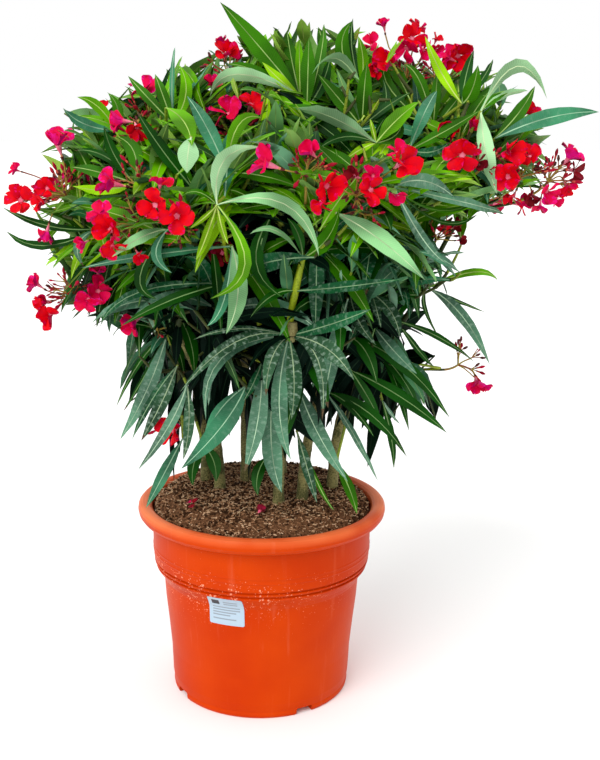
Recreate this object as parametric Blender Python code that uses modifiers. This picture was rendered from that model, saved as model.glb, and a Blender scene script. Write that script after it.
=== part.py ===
"""Potted oleander: a clump of seven canes in a round plastic tub, under a broad leafy crown.

Units are metres and +Z is up. The origin is the centre of the tub's flat underside, and the tub's
axis is Z. +X runs to the right of the plant's fullest side, which faces -Y.

The clump is built as it grows. Canes rise from the compost, and boughs leave them at their tips or
sides. Each bough ends where it enters a mass of foliage. A mass is one solid: a stem that splits
into shoots, leaves in whorls of three along the shoots, and heads of blossom. Every mass keeps to
its own space, the points nearer to its centre than to the centre of any other mass.
"""
import math
import random

import bmesh
import bpy
from mathutils import Matrix, Vector
from mathutils.bvhtree import BVHTree

GAP = 0.0003              # clearance between separate pieces
UP = Vector((0, 0, 1))
WELD = 0.00001            # merge distance for coincident vertices
SHARP_ANGLE = math.radians(50)

# ---- tub: a turned shell, radii and heights of its outer side
TUB_SIDES = 32
FOOT_RADIUS = 0.1345
LOWER_RADIUS = 0.1404     # the wall bows out a little between the foot and the neck
LOWER_HEIGHT = 0.065
UPPER_RADIUS = 0.1490
UPPER_HEIGHT = 0.148
NECK_RADIUS = 0.151
NECK_HEIGHT = 0.181
COLLAR_RADIUS = 0.1665
COLLAR_HEIGHT = 0.213
COLLAR_TOP_RADIUS = 0.1682
RIM_UNDERSIDE = 0.272
RIM_RADIUS = 0.190
RIM_TOP = 0.300
RIM_INNER_RADIUS = 0.168
RIM_DEPTH = 0.025         # height of the rim's roll
WALL = 0.0040
FLOOR = 0.014
FLOOR_BEND = 0.012        # the inner side turns into the floor over this much
FOOT_CHAMFER = 0.003
STEP = COLLAR_RADIUS - NECK_RADIUS      # the wall steps in below the collar
RIM_TURNS = (180, 130, 85, 45, 5, -40)  # degrees round the rim's roll
DRAIN_ANGLES = (29, 119, 209, 299)     # degrees round from the front, towards +X
DRAIN_SIZE = (0.028, 0.016, 0.010)     # along the foot, into the foot, and up

# ---- compost: a low mound with a level top that the canes are cut flat on
SOIL_TOP = 0.318
SOIL_FLAT_RADIUS = 0.128
SOIL_SHOULDER = 0.150
SOIL_SHOULDER_TOP = 0.308
SLOPE_EASE = 1.12         # widens the clearance along the sloping and faceted wall

# ---- label: a bare sticker below the collar
LABEL_WIDTH = 0.054
LABEL_HEIGHT = 0.046
LABEL_MIDDLE_HEIGHT = 0.176
LABEL_ANGLE = -19.5       # degrees from the front
LABEL_THICKNESS = 0.0006
LABEL_CELLS = (6, 6)      # round the wall, and up it

# ---- canes: name, foot (x, y), tip (x, y, z)
CANES = (
    ("cane_left", (-0.065, -0.010), (-0.118, -0.052, 0.560)),
    ("cane_back_left", (-0.088, 0.030), (-0.132, 0.070, 0.570)),
    ("cane_middle", (-0.026, 0.030), (-0.034, 0.014, 0.610)),
    ("cane_front", (0.024, -0.074), (0.034, -0.104, 0.572)),
    ("cane_front_right", (0.060, -0.056), (0.118, -0.078, 0.575)),
    ("cane_right", (0.108, -0.002), (0.168, 0.004, 0.575)),
    ("cane_back", (0.030, 0.066), (0.036, 0.106, 0.590)),
)
CANE_RADIUS = 0.0080
CANE_TIP_RADIUS = 0.0066
FLARE = 0.40              # root flare, as a share of the radius
FLARE_HEIGHT = 0.012
CANE_SIDES = 8
CANE_STEPS = 7
CANE_BUNCHING = 1.35      # power that draws a cane's rings together towards its foot

# ---- boughs
BOUGH_RADIUS = 0.0046
BOUGH_TIP_RADIUS = 0.0034
BOUGH_SIDES = 6
BOUGH_STEPS = 4
BOUGH_PULL = (0.30, 0.35)  # how far its first and last directions carry, as shares of its reach
BOUGH_SQUARE = 0.6        # its end rings lie this share of the way along, square to its ends
ON_TIP = 0.9              # a bough on a cane's tip is this share of that tip's thickness

# ---- masses of foliage: name, the cane it grows from, the height where its limb leaves that cane
# (None is the cane's tip), heart (x, y, z) where its stem splits, shoots, spread (degrees)
CROWN = (
    ("crown_front_left", "cane_left", None, (-0.085, -0.130, 0.700), 5, 80),
    ("crown_front", "cane_front", None, (0.055, -0.135, 0.700), 5, 80),
    ("crown_front_right", "cane_front_right", None, (0.150, -0.120, 0.705), 5, 80),
    ("crown_far_left", "cane_left", 0.525, (-0.205, -0.035, 0.690), 5, 70),
    ("crown_upper_left", "cane_back_left", None, (-0.140, -0.010, 0.775), 5, 66),
    ("crown_top_left", "cane_middle", None, (-0.020, -0.030, 0.825), 5, 60),
    ("crown_top", "cane_middle", 0.585, (0.105, -0.030, 0.835), 5, 60),
    ("crown_top_right", "cane_right", None, (0.205, 0.020, 0.830), 5, 60),
    ("crown_upper_right", "cane_front_right", 0.540, (0.260, -0.055, 0.790), 5, 66),
    ("crown_far_right", "cane_right", 0.548, (0.300, 0.045, 0.735), 5, 70),
    ("crown_low_left", "cane_back_left", 0.530, (-0.175, 0.010, 0.600), 5, 80),
    ("crown_low_right", "cane_right", 0.520, (0.200, -0.010, 0.615), 5, 80),
    ("crown_stray", "cane_right", 0.470, (0.245, 0.055, 0.492), 2, 40),
    ("crown_back_left", "cane_back_left", 0.550, (-0.120, 0.130, 0.710), 4, 80),
    ("crown_back", "cane_back", None, (0.020, 0.160, 0.720), 4, 80),
    ("crown_back_right", "cane_back", 0.560, (0.160, 0.140, 0.720), 4, 80),
    ("crown_back_top", "cane_back", 0.575, (0.055, 0.085, 0.830), 4, 66),
)
# skirt: masses whose stem leaves the side of a cane, with hanging leaves; name, cane, height,
# heart, shoots, spread
SKIRT = (
    ("skirt_upper_left", "cane_left", 0.500, (-0.075, -0.095, 0.615), 4, 85),
    ("skirt_upper_right", "cane_front_right", 0.505, (0.100, -0.110, 0.620), 4, 85),
    ("skirt_upper_back", "cane_back", 0.530, (0.030, 0.130, 0.620), 4, 85),
    ("skirt_left", "cane_left", 0.440, (-0.125, -0.020, 0.505), 5, 75),
    ("skirt_front_left", "cane_front", 0.520, (-0.040, -0.085, 0.545), 5, 75),
    ("skirt_front_right", "cane_front", 0.490, (0.050, -0.115, 0.545), 5, 75),
    ("skirt_right", "cane_front_right", 0.470, (0.150, -0.040, 0.545), 5, 75),
    ("skirt_back_left", "cane_back_left", 0.470, (-0.065, 0.095, 0.545), 4, 75),
    ("skirt_back_right", "cane_back", 0.480, (0.095, 0.095, 0.545), 4, 75),
)

# ---- leading shoots: mass, the whorl at the shoot's end (x, y, z), and the tips of its leaves.
# They carry the crown's top and its furthest tips.
LEADERS = (
    ("crown_top_left", (0.030, -0.020, 0.900),
     ((-0.064, -0.020, 1.027), (-0.075, -0.060, 0.905), (-0.005, 0.000, 0.955))),
    ("crown_top", (0.079, -0.030, 0.890),
     ((0.061, -0.030, 0.978), (0.112, -0.085, 0.931), (0.060, 0.012, 0.990))),
    ("crown_top", (0.130, -0.020, 0.860),
     ((0.120, -0.010, 1.005), (0.150, -0.060, 0.938), (0.094, 0.012, 0.996))),
    ("crown_top_right", (0.216, 0.010, 0.862),
     ((0.178, 0.000, 0.920), (0.228, 0.020, 0.988), (0.290, 0.010, 0.965))),
    ("crown_upper_right", (0.300, -0.050, 0.870),
     ((0.328, -0.045, 0.939), (0.385, -0.070, 0.908), (0.323, -0.085, 0.779))),
    ("crown_far_right", (0.345, 0.010, 0.830),
     ((0.468, 0.010, 0.880), (0.452, 0.010, 0.790))),
    ("crown_upper_left", (-0.160, -0.020, 0.835),
     ((-0.266, 0.000, 0.897), (-0.289, -0.010, 0.878), (-0.133, 0.020, 0.942))),
    ("crown_upper_left", (-0.110, -0.070, 0.800),
     ((-0.172, -0.110, 0.879), (-0.128, -0.095, 0.893))),
    ("crown_far_left", (-0.270, -0.020, 0.725),
     ((-0.369, -0.030, 0.743), (-0.373, -0.010, 0.704), (-0.350, -0.010, 0.796))),
    ("crown_front_left", (-0.070, -0.195, 0.755),
     ((-0.030, -0.220, 0.830), (-0.150, -0.215, 0.690))),
    ("crown_front", (0.048, -0.150, 0.700),
     ((0.041, -0.200, 0.865), (0.105, -0.220, 0.750), (0.000, -0.230, 0.690))),
    ("crown_front_right", (0.158, -0.185, 0.740),
     ((0.201, -0.260, 0.679), (0.241, -0.200, 0.776))),
    ("skirt_upper_left", (-0.080, -0.130, 0.630),
     ((-0.181, -0.160, 0.608), (-0.050, -0.215, 0.600))),
    ("crown_low_left", (-0.180, 0.000, 0.620),
     ((-0.318, 0.010, 0.620), (-0.247, -0.030, 0.573), (-0.348, 0.010, 0.650))),
    ("crown_low_right", (0.250, 0.010, 0.615),
     ((0.340, -0.045, 0.600), (0.354, 0.030, 0.635))),
    ("skirt_left", (-0.145, -0.025, 0.515),
     ((-0.209, -0.010, 0.403), (-0.218, 0.020, 0.455), (-0.150, -0.060, 0.375))),
    ("skirt_front_left", (-0.030, -0.115, 0.500),
     ((-0.105, -0.150, 0.391), (-0.020, -0.170, 0.385))),
    ("skirt_front_right", (0.045, -0.130, 0.520),
     ((0.045, -0.185, 0.395), (0.100, -0.170, 0.390))),
    ("skirt_right", (0.160, -0.050, 0.525),
     ((0.271, -0.055, 0.444), (0.250, 0.000, 0.415), (0.205, -0.080, 0.390))),
)

# ---- heads of blossom: mass, middle of the head, blossoms in it
BLOOMS = (
    ("crown_top_left", (-0.055, 0.020, 0.965), 2),
    ("crown_top_left", (-0.030, -0.050, 0.893), 2),
    ("crown_upper_left", (-0.185, 0.020, 0.890), 2),
    ("crown_far_left", (-0.315, -0.050, 0.745), 2),
    ("crown_front_left", (-0.180, -0.150, 0.745), 2),
    ("crown_front_left", (-0.115, -0.205, 0.755), 2),
    ("crown_low_left", (-0.270, -0.010, 0.615), 2),
    ("crown_front", (0.085, -0.205, 0.795), 2),
    ("crown_front_right", (0.165, -0.160, 0.800), 2),
    ("crown_top_right", (0.215, 0.080, 0.965), 2),
    ("crown_top_right", (0.275, 0.060, 0.935), 2),
    ("crown_upper_right", (0.300, -0.090, 0.815), 2),
    ("crown_far_right", (0.400, 0.020, 0.800), 2),
    ("crown_low_right", (0.300, 0.030, 0.690), 2),
    ("crown_stray", (0.330, 0.065, 0.478), 2),
    ("crown_back_left", (-0.190, 0.230, 0.800), 2),
    ("crown_back", (0.010, 0.290, 0.820), 2),
    ("crown_back_right", (0.230, 0.240, 0.810), 2),
    ("crown_back_top", (0.060, 0.170, 0.950), 2),
)

# ---- crown's outline: height, and how far it reaches to the left and the right at that height
OUTLINE = (
    (0.310, -0.170, 0.175), (0.380, -0.185, 0.215), (0.450, -0.215, 0.275), (0.550, -0.225, 0.270),
    (0.600, -0.305, 0.280), (0.720, -0.330, 0.300), (0.780, -0.355, 0.415), (0.850, -0.300, 0.415),
    (0.900, -0.255, 0.395), (0.940, -0.160, 0.350), (0.980, -0.065, 0.250), (1.010, 0.000, 0.180),
)
OUTLINE_DEPTH = 0.88      # the crown's depth, as a share of its width

# ---- growth
CROWN_FOOT = Vector((0.020, 0.0, 0.500))   # the crown's shoots fan out from this point
SKIRT_HANG = 1.0          # a skirt mass's space is measured from this much lower, as its leaves hang
LEAN_UP = 0.45            # how far a mass turns up from that fan
SKIRT_UP = 0.30           # how far a skirt mass turns up from the level
CENTRE_AHEAD = 0.055      # from a mass's heart out to the point that its space is measured from
STEM_LENGTH = 0.022
STEM_RADIUS = 0.0034
STEM_OVERLAP = 0.002      # how far its two stretches run into each other
STRAIGHT = 0.999          # cosine of the bend below which a stem is one stretch
STEM_STUB = 0.008         # first stretch of a stem, square to the face that it meets
SHOOT_RADIUS = 0.0032
SHOOT_TIP_RADIUS = 0.0028
HUB_START = 0.004         # shoots start this far out from the middle of the knuckle
HUB_RADIUS = 0.0100       # the knuckle where a stem splits into shoots
SHOOT_LENGTH = (0.070, 0.110)
LOWER_WHORL = 0.65        # place of a leading shoot's second whorl
TWIG_PAST = 0.004         # a leading shoot runs on this far past its whorl
WHORLS = (0.36, 0.66, 0.95)     # places of the whorls along a shoot
LEAF_LENGTH = (0.135, 0.175)
LEAF_WIDTH = 0.033
LEAF_THICKNESS = 0.0030
LEAF_MIDDLE = 0.48        # a leaf is widest, and bends, at this share of its length
LEAF_BEND = (0.20, 0.85)  # shares of its droop in its first and second half
LEAF_SINK = 0.0010        # a leaf's root lies inside its shoot, this far behind the axis
SPLAY_OLD = 88            # degrees from the shoot at its foot
SPLAY_YOUNG = 38          # degrees from the shoot at its tip
DROOP_CROWN = 0.55
DROOP_SKIRT = 2.30
ARCH_CROWN = 0.10         # rise of a leading leaf's middle over its chord, as a share of its run
ARCH_SKIRT = 0.17
GOLDEN_TURN = math.radians(137.5)
LEAF_JITTER = (0.35, math.radians(12))  # random turn round the shoot, and tilt to it
DROOP_FALL = 1.25         # a leaf at a shoot's foot droops this much, and one at its tip less by 1
DROOP_SPREAD = (0.7, 1.3)
SHOOT_JITTER = 0.3        # random turn of a shoot round its mass's lean
STALK_TILT = (25, 80)     # degrees from the head's axis to its outer stalks
STALK_TILT_FIRST = (0, 20)
STALK_SPREAD = (0.8, 1.2)
JOINT = 0.014             # past this far from its root, a piece crosses no other
TRIES = 14                # new angles tried for a leaf that doesn't fit
SHORTER = 0.93            # each further try is shorter by this factor
SPACE_MARGIN = 0.0007     # each mass stays this far inside its own space
LIMB_MARGIN = 0.0012      # leaves stay this far from canes and boughs
SOIL_MARGIN = 0.002       # and this far above the compost and the tub's rim
RIM_MARGIN = 0.004        # out to this far past the rim
BLOSSOM_RADIUS = 0.023
BLOSSOM_DEPTH = 0.026
PEDICEL_SINK = 0.008      # how far a blossom's stalk runs into it
HEAD_KNUCKLE = 0.0060     # knuckle where a head's stalks meet
PEDICEL = 0.030
PEDICEL_RADIUS = 0.0015

# ---- colours: linear red, green, blue
TERRACOTTA = (0.72, 0.07, 0.008)
COMPOST = (0.09, 0.045, 0.02)
PAPER = (0.85, 0.85, 0.83)
OLD_BARK = (0.17, 0.15, 0.09)
GREEN_BARK = (0.20, 0.27, 0.07)
FOLIAGE = (0.04, 0.13, 0.04)
FOLIAGE_OLD = (0.05, 0.12, 0.08)


def clear_scene():
    """Remove every object of the scene."""
    for item in list(bpy.data.objects):
        bpy.data.objects.remove(item)


def new_collection(name):
    """Add a collection to the scene."""
    made = bpy.data.collections.new(name)
    bpy.context.scene.collection.children.link(made)
    return made


def material(name, color, roughness):
    """A plain Principled BSDF."""
    made = bpy.data.materials.new(name)
    made.use_nodes = True
    shader = made.node_tree.nodes["Principled BSDF"]
    shader.inputs["Base Color"].default_value = (*color, 1)
    shader.inputs["Roughness"].default_value = roughness
    shader.inputs["Metallic"].default_value = 0
    return made


def add_object(name, mesh, collection, look=None):
    """Put a mesh into a collection as a new object."""
    made = bpy.data.objects.new(name, mesh)
    collection.objects.link(made)
    if look:
        mesh.materials.append(look)
    return made


def evaluated_mesh(item):
    """The object's mesh with its modifiers applied."""
    graph = bpy.context.evaluated_depsgraph_get()
    mesh = bpy.data.meshes.new_from_object(item.evaluated_get(graph))
    mesh.name = item.name
    return mesh


def weld(mesh):
    """Join a mesh's coinciding vertices."""
    work = bmesh.new()
    work.from_mesh(mesh)
    bmesh.ops.remove_doubles(work, verts=work.verts, dist=WELD)
    work.to_mesh(mesh)
    work.free()


def turned(name, profile, collection, look):
    """Turn a profile of (radius, height) points, top of the outer side first, round Z."""
    mesh = bpy.data.meshes.new(name)
    work = bmesh.new()
    points = [work.verts.new((radius, 0, height)) for radius, height in profile]
    for first, second in zip(points, points[1:]):
        work.edges.new((first, second))
    work.to_mesh(mesh)
    work.free()
    made = add_object(name, mesh, collection, look)
    screw = made.modifiers.new("Turn", "SCREW")
    screw.steps = TUB_SIDES
    screw.render_steps = TUB_SIDES
    screw.use_merge_vertices = True
    screw.merge_threshold = WELD
    screw.use_smooth_shade = True
    return made


# ---------------------------------------------------------------- tub, compost and label
def wall_profile():
    """The wall's outer side from the collar's foot down, as (radius, height) points."""
    return [
        (COLLAR_RADIUS, COLLAR_HEIGHT), (NECK_RADIUS + STEP * 0.25, NECK_HEIGHT + STEP * 0.6),
        (NECK_RADIUS, NECK_HEIGHT), (UPPER_RADIUS, UPPER_HEIGHT), (LOWER_RADIUS, LOWER_HEIGHT),
        (FOOT_RADIUS + FOOT_CHAMFER, FOOT_CHAMFER), (FOOT_RADIUS, 0),
    ]


def inner_wall(clear):
    """The wall's inner side from the rim's foot down to the floor, moved in by a clearance."""
    inset = WALL + clear
    floor_radius = FOOT_RADIUS - WALL - clear
    return [
        (COLLAR_TOP_RADIUS - inset, RIM_UNDERSIDE), (COLLAR_RADIUS - inset, COLLAR_HEIGHT),
        (NECK_RADIUS - inset, NECK_HEIGHT), (floor_radius, FLOOR + FLOOR_BEND + clear),
        (floor_radius - FLOOR_BEND, FLOOR + clear), (0, FLOOR + clear),
    ]


def tub_profile():
    """The tub's profile: up the inner side, over the rim, down the outer side and under."""
    middle = (RIM_INNER_RADIUS + RIM_RADIUS) / 2
    half = (RIM_RADIUS - RIM_INNER_RADIUS) / 2
    height = RIM_DEPTH / 2
    roll = [(middle + half * math.cos(math.radians(turn)),
             RIM_TOP - height + height * math.sin(math.radians(turn)))
            for turn in RIM_TURNS]
    collar_top = (COLLAR_TOP_RADIUS, RIM_UNDERSIDE)
    return [*reversed(inner_wall(0)), *roll, collar_top, *wall_profile(), (0, 0)]


def wall_radius(height):
    """Radius of the wall's outer side at a height below the collar."""
    wall = wall_profile()
    for (high_radius, high), (low_radius, low) in zip(wall, wall[1:]):
        if low <= height <= high:
            return low_radius + (high_radius - low_radius) * (height - low) / (high - low)
    return FOOT_RADIUS


def build_tub(parts, cutters):
    """The tub, with four drain notches cut into its foot."""
    tub = turned("tub", tub_profile(), parts, material("terracotta_plastic", TERRACOTTA, 0.35))
    for number, angle in enumerate(DRAIN_ANGLES):
        bpy.ops.mesh.primitive_cube_add(size=1)
        cutter = bpy.context.object
        cutter.name = f"drain_cutter_{number + 1}"
        along, inward, up = DRAIN_SIZE
        cutter.scale = (along, inward, up * 2)
        turn = math.radians(angle)
        cutter.location = (FOOT_RADIUS * math.sin(turn), -FOOT_RADIUS * math.cos(turn), 0)
        cutter.rotation_euler = (0, 0, turn)
        cutter.hide_render = True
        cutter.display_type = "WIRE"
        for holder in list(cutter.users_collection):
            holder.objects.unlink(cutter)
        cutters.objects.link(cutter)
        notch = tub.modifiers.new(f"Drain {number + 1}", "BOOLEAN")
        notch.operation = "DIFFERENCE"
        notch.object = cutter


def build_compost(parts):
    """The compost: it fills the tub just clear of the wall, and is level under the canes."""
    clear = GAP * SLOPE_EASE
    profile = [(0, SOIL_TOP), (SOIL_FLAT_RADIUS, SOIL_TOP), (SOIL_SHOULDER, SOIL_SHOULDER_TOP),
               (RIM_INNER_RADIUS - clear, RIM_TOP - RIM_DEPTH / 2), *inner_wall(clear)]
    turned("compost", profile, parts, material("compost", COMPOST, 0.95))


def build_label(parts):
    """A thin sheet bent to the tub's wall."""
    lowest = LABEL_MIDDLE_HEIGHT - LABEL_HEIGHT / 2
    columns, rows = LABEL_CELLS
    mesh = bpy.data.meshes.new("label")
    work = bmesh.new()
    bmesh.ops.create_grid(work, x_segments=columns, y_segments=rows, size=0.5)
    for vert in work.verts:
        height = lowest + (vert.co.y + 0.5) * LABEL_HEIGHT
        radius = wall_radius(height) + GAP
        turn = math.radians(LABEL_ANGLE) + vert.co.x * LABEL_WIDTH / radius
        vert.co = (radius * math.sin(turn), -radius * math.cos(turn), height)
    work.to_mesh(mesh)
    work.free()
    label = add_object("label", mesh, parts, material("label_paper", PAPER, 0.6))
    sheet = label.modifiers.new("Sheet", "SOLIDIFY")
    sheet.thickness = LABEL_THICKNESS
    sheet.offset = 1


# ---------------------------------------------------------------- canes and boughs
def limb(name, points, radii, sides, collection, look):
    """A tapering limb with flat ends, along a list of points."""
    curve = bpy.data.curves.new(name, "CURVE")
    curve.dimensions = "3D"
    curve.bevel_depth = 1
    curve.bevel_resolution = (sides - 4) // 2
    curve.use_fill_caps = True
    spline = curve.splines.new("POLY")
    spline.points.add(len(points) - 1)
    for point, place, radius in zip(spline.points, points, radii):
        point.co = (*place, 1)
        point.radius = radius
    drawn = bpy.data.objects.new(name, curve)
    collection.objects.link(drawn)
    mesh = evaluated_mesh(drawn)
    weld(mesh)
    bpy.data.objects.remove(drawn)
    bpy.data.curves.remove(curve)
    mesh.materials.clear()
    mesh.shade_smooth()
    mesh.set_sharp_from_angle(angle=SHARP_ANGLE)
    return add_object(name, mesh, collection, look)


def cane_point(cane, height):
    """Point and direction of a cane's axis at a height: it starts upright and leans out."""
    _, foot, tip = cane
    low = SOIL_TOP + GAP
    share = (height - low) / (tip[2] - low)
    start = Vector((foot[0], foot[1], low))
    end = Vector(tip)
    bend = Vector((foot[0], foot[1], (low + tip[2]) / 2))
    point = start * (1 - share) ** 2 + bend * 2 * share * (1 - share) + end * share ** 2
    direction = (bend - start) * (1 - share) + (end - bend) * share
    return point, direction.normalized()


def cane_radius(cane, height):
    """Radius of a cane at a height, with its root flare."""
    low = SOIL_TOP + GAP
    share = (height - low) / (cane[2][2] - low)
    plain = CANE_RADIUS + (CANE_TIP_RADIUS - CANE_RADIUS) * share
    return plain * (1 + FLARE * math.exp(-(height - low) / FLARE_HEIGHT))


def build_cane(cane, parts, look):
    """One cane, from its flat cut on the compost to its tip."""
    low = SOIL_TOP + GAP
    heights = [low + (cane[2][2] - low) * (step / CANE_STEPS) ** CANE_BUNCHING
               for step in range(CANE_STEPS + 1)]
    points = [cane_point(cane, height)[0] for height in heights]
    points[1].xy = points[0].xy      # the first stretch is upright, so the cut is level
    radii = [cane_radius(cane, height) for height in heights]
    return limb(cane[0], points, radii, CANE_SIDES, parts, look)


def socket(cane, height, target):
    """Where a limb leaves a cane: a point just clear of it, and the limb's first direction."""
    if height is None:
        point, direction = cane_point(cane, cane[2][2])
        return point + direction * GAP, direction
    point, direction = cane_point(cane, height)
    outward = target - point
    outward = (outward - direction * outward.dot(direction)).normalized()
    return point + outward * (cane_radius(cane, height) + GAP), outward


def bezier(start, first, second, end, steps):
    """Points of a cubic Bezier curve."""
    points = []
    for step in range(steps + 1):
        t = step / steps
        s = 1 - t
        points.append(start * s ** 3 + first * 3 * s * s * t + second * 3 * s * t * t + end * t ** 3)
    return points


def mass_lean(centre):
    """Direction that a crown mass grows in: out from the crown's foot, turned up."""
    fan = (centre - CROWN_FOOT).normalized()
    return (fan + UP * LEAN_UP).normalized()


def skirt_lean(centre):
    """Direction that a skirt mass grows in: level, out from the crown's axis, a little up."""
    fan = Vector((centre.x - CROWN_FOOT.x, centre.y - CROWN_FOOT.y, 0)).normalized()
    return (fan + UP * SKIRT_UP).normalized()


def build_bough(name, cane, height, heart, lean, parts, look):
    """A bough from its cane to a mass's stem. Returns it and the foot of that stem."""
    end = heart - lean * STEM_LENGTH
    start, direction = socket(cane, height, end)
    reach = (end - start).length
    first_pull, last_pull = BOUGH_PULL
    points = bezier(start, start + direction * reach * first_pull,
                    end - lean * reach * last_pull, end, BOUGH_STEPS)
    points[1] = start + direction * (points[1] - start).length * BOUGH_SQUARE
    points[-2] = end - lean * (end - points[-2]).length * BOUGH_SQUARE
    thick = BOUGH_RADIUS if height else CANE_TIP_RADIUS * ON_TIP
    radii = [thick + (BOUGH_TIP_RADIUS - thick) * step / BOUGH_STEPS
             for step in range(BOUGH_STEPS + 1)]
    return limb(name, points, radii, BOUGH_SIDES, parts, look), end + lean * GAP


# ---------------------------------------------------------------- masses of foliage
def tilted(axis, turn, tilt):
    """A direction tilted away from an axis, at a turn round it."""
    side = axis.orthogonal().normalized()
    ring = side * math.cos(turn) + axis.cross(side) * math.sin(turn)
    return (axis * math.cos(tilt) + ring * math.sin(tilt)).normalized()


def prism(start, end, start_radius, end_radius, sides=3, turn=0.0):
    """A tapering prism between two points, as a bmesh."""
    work = bmesh.new()
    axis = end - start
    aim = axis.to_track_quat("Z", "Y").to_matrix().to_4x4()
    place = Matrix.Translation((start + end) / 2) @ aim @ Matrix.Rotation(turn, 4, "Z")
    bmesh.ops.create_cone(work, cap_ends=True, segments=sides, radius1=start_radius,
                          radius2=end_radius, depth=axis.length, matrix=place)
    return work


def knuckle(middle, radius):
    """A knob where twigs meet, as a bmesh."""
    work = bmesh.new()
    place = Matrix.Translation(middle)
    bmesh.ops.create_uvsphere(work, u_segments=4, v_segments=2, radius=radius, matrix=place)
    return work


def leaf_run(base, direction, length, droop):
    """Middle and tip of a leaf that sets out in a direction and bows down."""
    first, second = [(direction - UP * droop * share).normalized() for share in LEAF_BEND]
    middle = base + first * length * LEAF_MIDDLE
    return middle, middle + second * length * (1 - LEAF_MIDDLE)


def leaf(root, middle, tip, across, width):
    """A leaf as a bmesh: a blade of triangular section, widest at its middle, keel down."""
    work = bmesh.new()
    made = bmesh.ops.create_cone(work, cap_ends=True, segments=3, radius1=1, radius2=0, depth=1)
    wide = [vert for vert in made["verts"] if vert.co.z < 0]
    point = next(vert for vert in made["verts"] if vert.co.z > 0)
    cap = next(face for face in work.faces if point not in face.verts)
    bmesh.ops.poke(work, faces=[cap])["verts"][0].co = root
    point.co = tip
    upper = across.cross(tip - root).normalized()
    for vert in wide:
        side = vert.co.x * 2 / math.sqrt(3)
        rise = (1 - vert.co.y) * 2 / 3 - 0.5
        vert.co = middle + across * side * width / 2 + upper * rise * LEAF_THICKNESS
    return work


def in_outline(point):
    """True if a point is inside the crown's outline, an ellipse at each height."""
    for (low, low_left, low_right), (high, high_left, high_right) in zip(OUTLINE, OUTLINE[1:]):
        if low <= point.z <= high:
            share = (point.z - low) / (high - low)
            left = low_left + (high_left - low_left) * share
            right = low_right + (high_right - low_right) * share
            half = (right - left) / 2
            across = (point.x - (left + right) / 2) / half
            deep = point.y / (half * OUTLINE_DEPTH)
            return across * across + deep * deep < 1
    return False


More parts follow.
